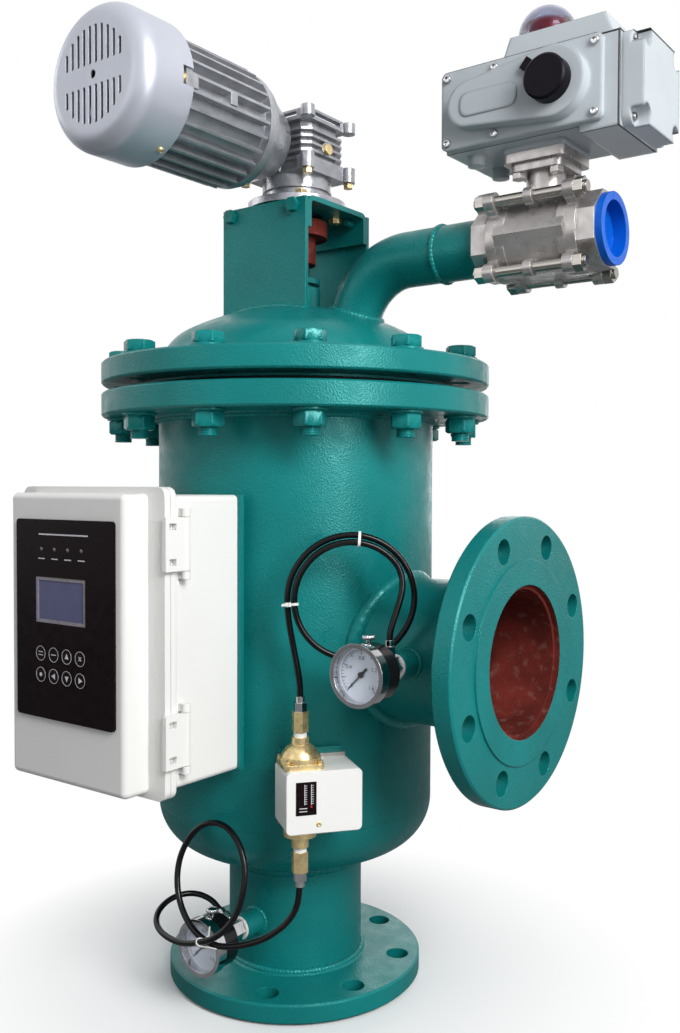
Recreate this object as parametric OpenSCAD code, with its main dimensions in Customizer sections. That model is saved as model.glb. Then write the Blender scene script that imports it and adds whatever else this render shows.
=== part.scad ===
// Self-cleaning pipeline filter: a flanged vessel with a motor-driven suction cleaner,
// a flushing ball valve, a pressure-difference switch and a control box.
// Origin: centre of the inlet flange's joint face. +Z up, +X to the outlet, motor to -Y.

/* [Vessel] */
// Outer diameter of the shell and of both dished heads
shell_d = 325; // [305:1:345]
// Wall of the shell and heads
shell_wall = 8; // [6:0.5:10]
// Height of the shell's lower end above the inlet joint face
shell_low_z = 213; // [205:1:240]
// Length of the cylindrical shell
shell_h = 446; // [430:1:500]
// Knuckle radius of the dished heads
head_knuckle = 56; // [48:1:64]
// Crown radius of the dished heads
head_crown = 292; // [270:1:330]

/* [Body joint] */
// Outer diameter of the body and cover flanges
body_flange_d = 456; // [445:1:480]
// Thickness of the body flange
body_flange_t = 27; // [22:1:32]
// Thickness of the cover flange
cover_flange_t = 25; // [22:1:32]
// Diameter of the raised joint faces
joint_face_d = 372; // [360:1:380]
// Height of each raised joint face
joint_face_h = 3; // [2:0.5:4]
// Thickness of the gasket
gasket_t = 4; // [2:0.5:6]
// Bolt circle of the cover
cover_pcd = 408; // [404:1:414]
// Number of cover bolts
cover_bolt_n = 12; // [8:4:16]
// Thread diameter of a cover bolt
cover_bolt_d = 20; // [16:2:22]
// Turn of the cover bolts about the vessel axis
cover_bolt_angle = 13; // [0:1:29]

/* [Nozzles] */
// Outer diameter of the inlet and outlet pipes
pipe_d = 159; // [140:1:168]
// Wall of the nozzle pipes
pipe_wall = 4.5; // [4:0.5:7]
// Outer diameter of the nozzle flanges
nozzle_flange_d = 300; // [285:1:320]
// Thickness of the nozzle flanges
nozzle_flange_t = 24; // [20:1:30]
// Bolt circle of the nozzle flanges
nozzle_pcd = 250; // [240:1:255]
// Bolt hole diameter of the nozzle flanges
nozzle_hole_d = 26; // [22:1:28]
// Diameter of the nozzle flanges' raised joint face
raised_face_d = 212; // [202:1:218]
// Height of the nozzle flanges' raised joint face
raised_face_h = 2; // [1:0.5:3]
// Turn of the inlet flange's holes
inlet_hole_angle = 25; // [0:0.5:44]
// Height of the outlet axis
outlet_z = 400; // [380:1:430]
// Distance of the outlet joint face from the vessel axis
outlet_reach = 306; // [290:1:340]

/* [Cleaner] */
// Outer diameter of the filter screen
screen_d = 230; // [210:1:240]
// Wall of the filter screen
screen_wall = 4; // [3:0.5:6]
// Outer diameter of the hollow cleaner tube
tube_d = 50; // [44:1:56]
// Diameter of the drive shaft above the tube
shaft_d = 30; // [26:1:34]
// Outer diameter of a suction arm
arm_d = 26; // [20:1:30]
// Gap between a suction mouth and the screen
mouth_gap = 1.5; // [1:0.5:4]
// Radial running clearance of shafts
run_clear = 0.05; // [0.02:0.01:0.1]

/* [Drive stand] */
// Width of the stand plates, along X
stand_w = 124; // [116:1:132]
// Distance over the two stand plates, along Y
stand_d = 122; // [116:1:130]
// Thickness of a stand plate
stand_plate_t = 5; // [4:0.5:6]
// Height of the drive base over the cover head's tangent line
stand_h = 196; // [188:1:220]
// Plate thickness of the drive base
base_t = 6; // [5:0.5:7]
// Depth of the drive base's side legs
base_leg = 36; // [32:1:42]

/* [Gear motor] */
// Half width of the gearbox covers along X
gear_cover_x = 48; // [46:0.5:52]
// Half width of the gearbox covers along Y
gear_cover_y = 40; // [38:0.5:44]
// Height of the motor axis over the drive base
motor_rise = 70; // [68:1:74]
// Offset of the motor axis from the vessel axis, along X
motor_x = -10; // [-14:1:-4]
// Radius of the fan cowl
cowl_r = 72; // [70:1:76]
// Length of the fan cowl
cowl_len = 65; // [60:1:75]
// Length of the finned motor frame
frame_len = 126; // [118:1:140]
// Radius over the frame fins
fin_r = 65; // [63:0.5:68]
// Number of frame fins
fin_n = 26; // [20:1:32]

/* [Drain] */
// Outer diameter of the drain pipe
drain_d = 60; // [56:0.5:62]
// Wall of the drain pipe
drain_wall = 4; // [3:0.5:5]
// Distance of the drain pipe's foot from the vessel axis
drain_x = 84; // [80:1:90]
// Bend radius of the drain elbow
drain_bend = 76; // [70:1:80]
// Height of the drain axis over the cover head's tangent line
drain_rise = 119.5; // [116:0.5:128]

/* [Ball valve] */
// Distance of the valve stem from the vessel axis
valve_x = 323; // [315:1:335]
// Length of the valve's centre body
valve_body_len = 74; // [70:1:80]
// Thickness of the valve's eared flanges
ear_t = 11; // [9:0.5:13]
// Length of the octagonal valve ends
valve_end_len = 18; // [16:1:22]
// Width across the flats of the octagonal ends
valve_end_af = 72; // [70:1:76]
// Diameter of the ball
ball_d = 63; // [60:0.5:64]
// Bore of the valve
valve_bore = 46; // [40:1:47]
// Diameter of the valve stem
stem_d = 18; // [14:1:20]

/* [Actuator] */
// Length of the actuator's main case, along X
act_len = 182; // [176:1:190]
// Depth of the actuator's main case, along Y
act_depth = 98; // [92:1:104]
// Height of the actuator's main case
act_h = 81; // [78:1:90]
// Distance from the stem back to the case's rear end
act_back = 87; // [82:1:92]
// Radius of the indicator dome
dome_r = 29; // [26:0.5:32]

/* [Control box] */
// Width of the box base
box_w = 208; // [196:1:220]
// Height of the box base
box_h = 287; // [270:1:300]
// Depth of the box base, back to rim
box_depth = 98; // [90:1:110]
// Height of the box's lower side
box_z = 284; // [275:1:295]
// Position of the box's right side, along X
box_right = 60; // [54:1:64]
// Wall of the box and its door
box_wall = 3; // [2.5:0.5:4]
// Height of the door's raised front over its rim
door_rise = 30; // [24:1:34]
// Width of the keypad panel
panel_w = 149; // [140:1:156]
// Height of the keypad panel
panel_h = 201; // [190:1:210]
// Diameter of a key
key_d = 16; // [13:0.5:17]

/* [Gauges and switch] */
// Radius of a gauge's bezel
bezel_r = 31; // [29:0.5:34]
// Distance of the outlet gauge from the vessel axis, along X
gauge_out_x = 213; // [208:1:225]
// Offset of the inlet gauge from the vessel axis, along X
gauge_in_x = 5; // [0:1:8]
// Height of the inlet gauge
gauge_in_z = 81; // [76:1:90]
// Bearing of the pressure switch about the vessel axis
switch_angle = -37; // [-40:0.5:-34]
// Width of the pressure switch
switch_w = 78; // [72:1:84]
// Height of the pressure switch
switch_h = 62; // [56:1:68]
// Depth of the pressure switch's cover
switch_depth = 51; // [44:1:58]
// Diameter of the sensing hoses
hose_d = 6.5; // [5:0.5:8]

/* [Hidden] */
$fn = 64;
eps = 0.1;

// Paint and metal colours
paint = "#0f6b5e";
oxide = "#7c3a2c";
steel = "#b9b5ac";
alloy = "#a9adb2";
brass = "#b08a3c";
chrome = "#d4d6d8";
ivory = "#eceae2";
grey = "#aab0ac";
black = "#1b1b1d";

// Vessel levels
shell_id = shell_d - 2 * shell_wall;
shell_top_z = shell_low_z + shell_h;
joint_z = shell_top_z + body_flange_t;
cover_z = joint_z + 2 * joint_face_h + gasket_t;
cover_top_z = cover_z + cover_flange_t;
cover_skirt = 14;
tangent_z = cover_z + cover_skirt;
dish_a = shell_d / 2 - head_knuckle;
dish_drop = sqrt(pow(head_crown - head_knuckle, 2) - pow(dish_a, 2));
dish_h = head_crown - dish_drop;
pipe_bore = pipe_d - 2 * pipe_wall;
pipe_recess = 6;
weld_leg = 6;

// Height of the dished head's outer face over its tangent line, at radius r inside the crown
function dish_at(r) = sqrt(pow(head_crown, 2) - pow(r, 2)) - dish_drop;

// Cleaner levels
seat_t = 10;
seat_low_z = shell_low_z + 12;
seat_high_z = shell_top_z - 24;
tube_top_z = joint_z + 34;
tube_bore = tube_d - 10;
pin_d = 20;
pin_low_z = seat_low_z - 16;

// Drive levels
base_top_z = tangent_z + stand_h;
web_low_z = base_top_z - base_t;
stand_bolt_d = 8;
seal_r = 28;
seal_top_z = tangent_z + dish_h + 23;
gland_h = 10.5;
coupling_low_z = web_low_z - 57;
coupling_hub_h = 31;
coupling_flange_h = 18;
output_d = 25;

// Gearbox levels over the drive base
foot_h = 8;
neck_r = 38;
low_cover_h0 = 35;
low_cover_h1 = 52;
top_cover_h0 = 93;
top_cover_h1 = 105;
boss_r = 8;
core_in = 8;
fin_in = 3;
gear_fin_t = 3;
gear_fin_pitch = 8;
gear_fin_h0 = 57.5;
motor_z = base_top_z + motor_rise;

// Motor stations along -Y, measured from the vessel axis
flange_y = 100;
frame_y = flange_y + 8;
cowl_y = frame_y + frame_len;
cowl_front_y = cowl_y + cowl_len;
cowl_t = 2;
cowl_edge = 19;
barrel_r = 54;
rotor_r = 35;
rotor_gap = 0.4;
rotor_shaft_r = 7;
shield_t = 8;

// Turned edge of the flange plates
plate_edge = 2;

// Valve and actuator levels
drain_z = tangent_z + drain_rise;
body_x0 = valve_x - valve_body_len / 2;
body_x1 = valve_x + valve_body_len / 2;
valve_in_x = body_x0 - ear_t - valve_end_len;
valve_out_x = body_x1 + ear_t + valve_end_len;
tie_y = 36;
tie_z = 35;
tie_d = 11;
seat_ring_r = ball_d / 2 + 0.5;
ball_clear = 0.3;
valve_neck_h = 63.5;
valve_pad_t = 8;
valve_pad_w = 56;
mount_t = 9.5;
mount_w = 66;
act_pad_t = 6;
act_x0 = valve_x - act_back;
act_x1 = act_x0 + act_len;
act_pad_z = drain_z + valve_neck_h + valve_pad_t + mount_t;
act_low_z = act_pad_z + act_pad_t;
act_top_z = act_low_z + act_h;
act_front_y = -act_depth / 2;
act_cap_t = 22;
act_cap_in = 3;
act_pocket_z = act_cap_t - 13;
act_cover_t = 7;
act_boss_t = 14;
crown_h = 23;
crown_top_z = act_top_z + crown_h;
crown_x0 = valve_x - 26;
crown_x1 = valve_x + 87;
drum_h = 20;

// Box stations
box_back_y = -(shell_d / 2 + 7.5);
box_rim_y = box_back_y - box_depth + 7;
box_rim_t = 7;
box_rim = 4;
box_left = box_right - box_w;
box_mid_z = box_z + box_h / 2;
seam_y = box_back_y - box_depth;
seam_gap = 0.4;
door_rim_t = 7.6;
door_rim_y = seam_y - seam_gap - door_rim_t;
door_front_y = door_rim_y - door_rise;
door_left = 18;
door_right = 23;
door_top = 6.5;
door_bottom = 4.5;
door_edge = 6.5;
panel_t = 3;
panel_x = box_left + 28 + panel_w / 2;
panel_z = box_z + 61 + panel_h / 2;
panel_y = door_front_y - panel_t;
key_pitch_x = 20.3;
key_pitch_z = 21.5;
key_clear = 0.3;
key_t = 2;
key_proud = 0.4;
hinge_r = 5;
hinge_gap = 0.6;
hinge_x = box_left - box_rim - hinge_r - hinge_gap;
hinge_pin_r = 2;
hinge_zs = [box_z + 46, box_z + box_h - 46];
latch_h = 52;
latch_t = 5;
latch_gap = 0.6;
latch_x = box_right + box_rim + latch_gap + latch_t / 2;
latch_pivot_y = box_rim_y + 10;
latch_tip_y = door_rim_y - 4;
latch_zs = [box_z + box_h - 47, box_z + 50];

// Gauge stations along -Y
stub_r = 14;
stub_y = pipe_d / 2 + 25;
tee_y = stub_y + 10;
gauge_back_y = stub_y + 34;
gauge_front_y = gauge_back_y + 33;
case_r = bezel_r - 2.5;
dial_y = gauge_front_y - 9;
gauge_places = [[gauge_out_x, outlet_z, 0], [gauge_in_x, gauge_in_z, -50]];
hose_nut_h = 28;

// Pressure switch stations, out from the vessel axis and along the switch's face
switch_plate_n = shell_d / 2 + 3.5;
switch_back_n = switch_plate_n + 5;
switch_lid_n = switch_back_n + 3;
switch_t0 = -64.5;
switch_z = 236;
bellows_n = 198;
bellows_t = -44;
bellows_top_z = switch_z + switch_h;

// Sensing hose routes
loop_c = [174, -123, 467];
loop_r = 60.5;
loop_grow = 7;
loop_mid = 260;
loop_bearing = -50;
loop_from = 20;
loop_to = 545;
loop_step = 15;
loop_drift = 6;
loop_side = [-sin(loop_bearing), cos(loop_bearing), 0];
loop_out = [cos(loop_bearing), sin(loop_bearing), 0];
function loop_at(a) = loop_c
    + (loop_r + loop_grow * (a - loop_mid) / 360) * (cos(a) * loop_side + [0, 0, sin(a)])
    + (0.5 - (a - loop_from) / (loop_to - loop_from)) * loop_drift * loop_out;
// Points of one easy bend between two places, each with its heading
function bend(p, u, q, v, n) = [for (i = [0 : n]) let (t = i / n)
    (2 * pow(t, 3) - 3 * pow(t, 2) + 1) * p + (pow(t, 3) - 2 * pow(t, 2) + t) * u
    + (3 * pow(t, 2) - 2 * pow(t, 3)) * q + (pow(t, 3) - pow(t, 2)) * v];
loop_join = 50;
join_step = loop_at(loop_join + 1) - loop_at(loop_join - 1);
hose_upper_route = concat(
    bend([213, -114.5, 428], [0, 0, 75], loop_at(loop_join), 120 * join_step / norm(join_step), 9),
    [for (a = [loop_join + loop_step : loop_step : loop_to]) loop_at(a)],
    [[122.4, -160.8, 441], [124, -158.2, 425], [126.3, -156.6, 410], [129, -155.4, 395],
        [131, -154.5, 381], [131.6, -154.3, 368]]
);
hose_lower_route = concat(
    bend([131.6, -154.3, 174], [0, 0, -90], [96, -177, 116], [-72.2, -34.3, -41.5], 4), [
    [74, -186, 108], [51, -193, 105], [30, -196, 111], [11, -195, 123], [-4, -191, 140],
    [-12, -186, 160], [-12, -181, 181], [-4, -176, 201], [11, -174, 216], [31, -174, 224],
    [52, -176, 223], [70, -179, 212], [82, -183, 194], [86, -188, 174], [84, -193, 154],
    [76, -199, 135], [61, -204, 120], [41, -206, 110], [19, -203, 102]],
    bend([0, -200, 98], [-278.3, 28, -14], [-16.4, -114.5, 99], [137.7, 0, -116], 12)
);

// Shared shapes

module ring(d, bore, h) {
    difference() {
        cylinder(d = d, h = h);
        translate([0, 0, -eps]) cylinder(d = bore, h = h + 2 * eps);
    }
}

module hex(af, h) {
    cylinder(d = af / cos(30), h = h, $fn = 6);
}

module box(lo, hi) {
    translate(lo) cube(hi - lo);
}

module on_circle(n, d, start = 0) {
    for (i = [0 : n - 1]) rotate([0, 0, start + i * 360 / n]) translate([d / 2, 0, 0]) children();
}

module to_x() {
    rotate([0, 90, 0]) children();
}

module to_front() {
    rotate([90, 0, 0]) children();
}

module corners(x, y) {
    for (i = [-1, 1], j = [-1, 1]) translate([i * x, j * y, 0]) children();
}

module round_rect(w, h, r) {
    square([w - 2 * r, h], center = true);
    square([w, h - 2 * r], center = true);
    corners(w / 2 - r, h / 2 - r) circle(r = r);
}

module slot(len, w) {
    square([w, len - w], center = true);
    for (s = [-1, 1]) translate([0, s * (len - w) / 2]) circle(d = w);
}

module weld_bead(d, leg) {
    rotate_extrude() polygon([[d / 2, 0], [d / 2 + leg, 0], [d / 2, leg]]);
}

// Half section of a dished head, set in by a wall
module dish_section(inset) {
    r = head_knuckle - inset;
    crown = head_crown - inset;
    slope = atan2(dish_drop, dish_a);
    far = 2 * head_crown;
    intersection() {
        translate([0, -dish_drop]) circle(r = crown, $fn = 180);
        polygon([[0, 0], [dish_a, 0], [far * cos(slope), far * sin(slope) - dish_drop], [0, far]]);
    }
    intersection() {
        translate([dish_a, 0]) circle(r = r);
        translate([dish_a, 0]) square(head_knuckle);
    }
}

module dish_solid() {
    rotate_extrude() dish_section(0);
}

module dish_shell(skirt) {
    rotate_extrude() difference() {
        dish_section(0);
        dish_section(shell_wall);
    }
    translate([0, 0, -skirt]) ring(shell_d, shell_id, skirt);
}

// Round plate with turned edges, open in the middle
module plate(d, h) {
    c = plate_edge;
    rotate_extrude()
        polygon([[20, 0], [d / 2 - c, 0], [d / 2, c], [d / 2, h - c], [d / 2 - c, h], [20, h]]);
}

// Flange with its joint face at z = 0 and its hub side towards +Z
module nozzle_flange(hole_angle) {
    difference() {
        union() {
            cylinder(d = raised_face_d, h = nozzle_flange_t / 2);
            translate([0, 0, raised_face_h]) plate(nozzle_flange_d, nozzle_flange_t - raised_face_h);
            translate([0, 0, nozzle_flange_t]) weld_bead(pipe_d, weld_leg);
        }
        translate([0, 0, -eps]) cylinder(d = pipe_d, h = nozzle_flange_t + weld_leg + 2 * eps);
        on_circle(8, nozzle_pcd, hole_angle)
            translate([0, 0, -eps]) cylinder(d = nozzle_hole_d, h = nozzle_flange_t + 2 * eps);
    }
}

// Vessel

module shell() {
    color(paint) difference() {
        translate([0, 0, shell_low_z]) ring(shell_d, shell_id, shell_h);
        translate([0, 0, outlet_z]) to_x() cylinder(d = pipe_bore, h = shell_d);
    }
}

module bottom_head() {
    color(paint) difference() {
        translate([0, 0, shell_low_z]) mirror([0, 0, 1]) dish_shell(0);
        cylinder(d = pipe_d, h = shell_low_z);
    }
}

module gauge_stub() {
    to_front() difference() {
        cylinder(r = stub_r, h = stub_y);
        cylinder(d = 12, h = stub_y + eps);
    }
}

module pipe_drill() {
    to_front() cylinder(d = 12, h = pipe_d);
}

module nozzle_pipes() {
    inlet_top_z = shell_low_z - 60;
    color(paint) {
        difference() {
            translate([0, 0, pipe_recess]) ring(pipe_d, pipe_bore, inlet_top_z - pipe_recess);
            translate([gauge_in_x, 0, gauge_in_z]) pipe_drill();
        }
        difference() {
            translate([0, 0, outlet_z]) to_x() ring(pipe_d, pipe_bore, outlet_reach - pipe_recess);
            cylinder(d = shell_d, h = 2 * outlet_z);
            translate([gauge_out_x, 0, outlet_z]) pipe_drill();
        }
        difference() {
            translate([gauge_in_x, 0, gauge_in_z]) gauge_stub();
            cylinder(d = pipe_d, h = 2 * gauge_in_z);
        }
        difference() {
            translate([gauge_out_x, 0, outlet_z]) gauge_stub();
            translate([0, 0, outlet_z]) to_x() cylinder(d = pipe_d, h = outlet_reach);
        }
    }
}

module inlet_flange() {
    color(paint) nozzle_flange(inlet_hole_angle);
}

module outlet_flange() {
    color(paint) translate([outlet_reach, 0, outlet_z]) rotate([0, -90, 0]) nozzle_flange(22.5);
}

module cover_holes(h) {
    on_circle(cover_bolt_n, cover_pcd, cover_bolt_angle) cylinder(d = cover_bolt_d + 2, h = h);
}

module body_flange() {
    color(paint) difference() {
        union() {
            translate([0, 0, shell_top_z]) plate(body_flange_d, body_flange_t);
            translate([0, 0, joint_z]) cylinder(d = joint_face_d, h = joint_face_h);
            translate([0, 0, shell_top_z]) mirror([0, 0, 1]) weld_bead(shell_d, weld_leg);
        }
        translate([0, 0, shell_top_z]) cylinder(d = shell_id, h = body_flange_t + joint_face_h + eps);
        translate([0, 0, shell_top_z - weld_leg - eps]) cylinder(d = shell_d, h = weld_leg + eps);
        translate([0, 0, shell_top_z - eps]) cover_holes(body_flange_t + 2 * eps);
    }
}

module body_gasket() {
    color(black) translate([0, 0, joint_z + joint_face_h]) ring(joint_face_d, shell_d, gasket_t);
}

module cover_flange() {
    color(paint) difference() {
        union() {
            translate([0, 0, cover_z - joint_face_h]) cylinder(d = joint_face_d, h = joint_face_h + eps);
            translate([0, 0, cover_z]) plate(body_flange_d, cover_flange_t);
        }
        translate([0, 0, cover_z - joint_face_h - eps])
            cylinder(d = shell_d, h = cover_flange_t + joint_face_h + 2 * eps);
        translate([0, 0, cover_z - eps]) cover_holes(cover_flange_t + 2 * eps);
    }
}

module cover_head() {
    color(paint) difference() {
        union() {
            translate([0, 0, tangent_z]) dish_shell(cover_skirt);
            translate([0, 0, cover_top_z]) difference() {
                weld_bead(shell_d - 8, weld_leg + 4);
                translate([0, 0, tangent_z - cover_top_z]) dish_solid();
            }
        }
        translate([0, 0, tangent_z]) cylinder(r = seal_r, h = dish_h + eps);
        translate([drain_x, 0, tangent_z]) cylinder(d = drain_d - 2 * drain_wall, h = dish_h);
    }
}

// One bolt with its washers and nut, clamping from z = 0 down through h
module flange_bolt(h, d) {
    af = 1.5 * d;
    head = 0.63 * d;
    washer = 3;
    nut = 0.8 * d;
    stud = h + 2 * washer + nut + 0.45 * d;
    translate([0, 0, washer]) hex(af, head);
    translate([0, 0, washer - stud]) cylinder(d = d, h = stud);
    ring(1.85 * d, d, washer);
    translate([0, 0, -h - washer]) ring(1.85 * d, d, washer);
    translate([0, 0, -h - washer - nut]) difference() {
        hex(af, nut);
        translate([0, 0, -eps]) cylinder(d = d, h = nut + 2 * eps);
    }
}

module cover_bolts() {
    color(paint) translate([0, 0, cover_top_z])
        on_circle(cover_bolt_n, cover_pcd, cover_bolt_angle)
            rotate([0, 0, 12]) flange_bolt(cover_top_z - shell_top_z, cover_bolt_d);
}

// Plate on two ribs that reach back to the shell, in a frame turned to face +X
module shell_bracket(n0, n1, t0, t1, z0, z1, ribs) {
    difference() {
        union() {
            box([n0, t0, z0], [n1, t1, z1]);
            for (t = ribs) box([shell_d / 2 - 40, t - 3, z0 + 8], [n0 + eps, t + 3, z1 - 8]);
        }
        cylinder(d = shell_d, h = 2 * z1);
    }
}

module weld_brackets() {
    plate_top_z = base_top_z - 3;
    color(paint) {
        for (s = [-1, 1]) difference() {
            translate([0, s * (stand_d - stand_plate_t) / 2, (tangent_z + plate_top_z) / 2])
                cube([stand_w, stand_plate_t, plate_top_z - tangent_z], center = true);
            translate([0, 0, tangent_z]) dish_solid();
            stand_bolts_at() cylinder(d = stand_bolt_d, h = stand_d);
        }
        rotate([0, 0, -90]) shell_bracket(
            -box_back_y - 5, -box_back_y, box_left + 40, box_right + 5, box_z, box_z + box_h,
            [-44, 40]);
        rotate([0, 0, switch_angle]) shell_bracket(
            switch_plate_n, switch_back_n, switch_t0 + 6, switch_t0 + switch_w - 6,
            switch_z - 6, switch_z + switch_h + 10, [-46, -4]);
    }
}

// Cleaner and screen

module screen() {
    z0 = seat_low_z + seat_t;
    h = seat_high_z - z0;
    rows = 6;
    row_h = h / rows;
    color(steel) difference() {
        translate([0, 0, z0]) ring(screen_d, screen_d - 2 * screen_wall, h);
        for (i = [0 : rows - 1], a = [0 : 30 : 150])
            translate([0, 0, z0 + (i + 0.5) * row_h]) rotate([0, 0, a])
                cube([screen_d + 2, 34, row_h - 14], center = true);
    }
}

// Lower seat: a ring, three spokes and the hub of the foot bearing
module seat_plan(hub_r) {
    bore_r = screen_d / 2 - screen_wall - 8;
    difference() {
        union() {
            difference() {
                circle(d = shell_id);
                circle(r = bore_r);
            }
            circle(r = hub_r);
            for (a = [40 : 120 : 280]) rotate([0, 0, a])
                translate([hub_r - 2, -4]) square([bore_r + 4 - hub_r, 8]);
        }
        circle(d = pin_d + 2 * run_clear);
    }
}

module screen_seats() {
    hub_r = 24;
    color(steel) {
        translate([0, 0, seat_low_z]) linear_extrude(seat_t) seat_plan(hub_r);
        translate([0, 0, pin_low_z]) ring(2 * hub_r, pin_d + 2 * run_clear, seat_low_z - pin_low_z);
        translate([0, 0, seat_high_z]) ring(shell_id, tube_d + 2 * run_clear, seat_t);
    }
}

arm_count = 4;
arm_pitch = (seat_high_z - seat_low_z - seat_t) / arm_count;
function arm_z(i) = seat_low_z + seat_t + (i + 0.5) * arm_pitch;

module cleaner_shaft() {
    tube_z = seat_low_z + seat_t + 2;
    color(steel) difference() {
        union() {
            translate([0, 0, pin_low_z]) cylinder(d = pin_d, h = tube_z - pin_low_z + eps);
            translate([0, 0, tube_z]) cylinder(d = tube_d, h = tube_top_z - tube_z);
            translate([0, 0, tube_top_z - eps])
                cylinder(d = shaft_d, h = coupling_low_z + 25 - tube_top_z + eps);
        }
        translate([0, 0, tube_z + 8]) cylinder(d = tube_bore, h = tube_top_z - tube_z - 16);
        for (i = [0 : arm_count - 1])
            translate([0, 0, arm_z(i)]) rotate([0, 0, 90 * i]) to_x() cylinder(d = arm_d - 6, h = tube_d);
        for (a = [45, 135]) translate([0, 0, joint_z + 10]) rotate([0, 0, a]) to_x()
            translate([0, 0, -tube_d]) cylinder(d = 22, h = 2 * tube_d);
    }
}

module suction_arms() {
    reach = screen_d / 2 - screen_wall - mouth_gap;
    mouth_len = 22;
    color(steel) for (i = [0 : arm_count - 1])
        translate([0, 0, arm_z(i)]) rotate([0, 0, 90 * i]) difference() {
            union() {
                to_x() cylinder(d = arm_d, h = reach - mouth_len + eps);
                translate([reach - mouth_len, -8, -arm_pitch / 2 + 6])
                    cube([mouth_len, 16, arm_pitch - 12]);
            }
            to_x() cylinder(d = arm_d - 6, h = reach - mouth_len + 6);
            translate([reach - 16, -4, -arm_pitch / 2 + 12]) cube([20, 8, arm_pitch - 24]);
            translate([0, 0, -arm_d]) cylinder(d = tube_d, h = 2 * arm_d);
        }
}

module shaft_coupling() {
    flange_z = coupling_low_z + coupling_hub_h;
    top_z = flange_z + coupling_flange_h;
    color(oxide) difference() {
        union() {
            translate([0, 0, coupling_low_z]) cylinder(r = 22.5, h = coupling_hub_h + eps);
            translate([0, 0, flange_z]) cylinder(r = 36, h = coupling_flange_h);
        }
        translate([0, 0, coupling_low_z - eps]) cylinder(d = shaft_d, h = 25 + eps);
        translate([0, 0, coupling_low_z]) cylinder(d = output_d, h = 80);
    }
    color(steel) translate([0, 0, coupling_low_z + 25])
        cylinder(d = output_d, h = base_top_z + 55 - coupling_low_z - 25);
}

module seal_housing() {
    bore = shaft_d + 2 * run_clear;
    low_z = tangent_z + dish_h - shell_wall - 14;
    color(paint) {
        translate([0, 0, low_z]) ring(2 * seal_r, bore, seal_top_z - low_z);
        translate([0, 0, seal_top_z]) ring(42, bore, gland_h - 6 + eps);
        translate([0, 0, seal_top_z + gland_h - 6]) ring(2 * seal_r - 1, bore, 6);
    }
}

// Drive

module stand_bolts_at() {
    for (x = [-stand_w / 2 + 13, stand_w / 2 - 17], s = [0, 180])
        rotate([0, 0, s]) translate([s == 0 ? x : -x, 0, base_top_z - 11]) to_front() children();
}

module drive_base() {
    w = stand_d - 2 * stand_plate_t;
    bend = 10;
    color(paint) difference() {
        translate([-stand_w / 2, 0, base_top_z - base_leg]) rotate([90, 0, 90])
            linear_extrude(stand_w) difference() {
                base_section(w, base_leg, bend);
                translate([0, -eps]) base_section(w - 2 * base_t, base_leg - base_t + eps, bend - base_t);
            }
        cylinder(r = 30, h = base_top_z + eps);
        stand_bolts_at() cylinder(d = stand_bolt_d, h = stand_d);
        translate([0, 0, web_low_z - eps]) on_circle(4, 92, 45) cylinder(d = 9, h = base_t + 2 * eps);
    }
}

// Inverted U outline with round upper corners
module base_section(w, h, r) {
    translate([-w / 2, 0]) square([w, h - r]);
    translate([-w / 2 + r, 0]) square([w - 2 * r, h]);
    for (s = [-1, 1]) translate([s * (w / 2 - r), h - r]) circle(r = r);
}

module drive_bolts() {
    plate_y = stand_d / 2;
    color(paint) stand_bolts_at() {
        translate([0, 0, plate_y]) hex(1.8 * stand_bolt_d, 6);
        translate([0, 0, plate_y - 24]) cylinder(d = stand_bolt_d, h = 24 + eps);
    }
    color(brass) {
        translate([0, 0, base_top_z + low_cover_h0 - 6])
            corners(gear_cover_x - 1, gear_cover_y - 1) hex(10, 6);
        translate([0, 0, base_top_z + foot_h]) on_circle(4, 92, 45) hex(13, 6);
        translate([0, 0, web_low_z - 6]) on_circle(4, 92, 45) hex(13, 6);
        translate([gear_cover_x - fin_in + 0.4, -1.5, base_top_z + 65]) to_x() hex(12, 4);
    }
}

module gear_plan(inset) {
    x = gear_cover_x - inset;
    y = gear_cover_y - inset;
    c = 9;
    polygon([[-x + c, -y], [x - c, -y], [x, -y + c], [x, y - c], [x - c, y],
        [-x + c, y], [-x, y - c], [-x, -y + c]]);
}

module gearbox_housing() {
    bell_y = gear_cover_y + boss_r;
    color(alloy) difference() {
        union() {
            translate([0, 0, base_top_z + low_cover_h1])
                linear_extrude(top_cover_h0 - low_cover_h1) gear_plan(core_in);
            for (i = [0 : 3])
                translate([0, 0, base_top_z + gear_fin_h0 + i * gear_fin_pitch])
                    linear_extrude(gear_fin_t) gear_plan(fin_in);
            translate([motor_x, 0, motor_z]) to_front() {
                cylinder(r = 18, h = bell_y + eps);
                translate([0, 0, bell_y]) cylinder(r1 = 40, r2 = 58, h = flange_y - 8 - bell_y);
                translate([0, 0, flange_y - 8]) cylinder(r = 60, h = 8);
            }
            translate([gear_cover_x - fin_in - 6, -1.5, base_top_z + 65]) to_x() cylinder(r = 8, h = 6.4);
        }
        translate([0, 0, base_top_z]) cylinder(d = output_d + 2 * run_clear, h = 60);
        translate([motor_x, 0, motor_z]) to_front()
            translate([0, 0, 28]) cylinder(r = rotor_shaft_r + run_clear, h = flange_y);
    }
}

module gear_cover(h) {
    linear_extrude(h) gear_plan(1.5);
    corners(gear_cover_x - 1, gear_cover_y - 1) cylinder(r = boss_r, h = h);
}

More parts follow.
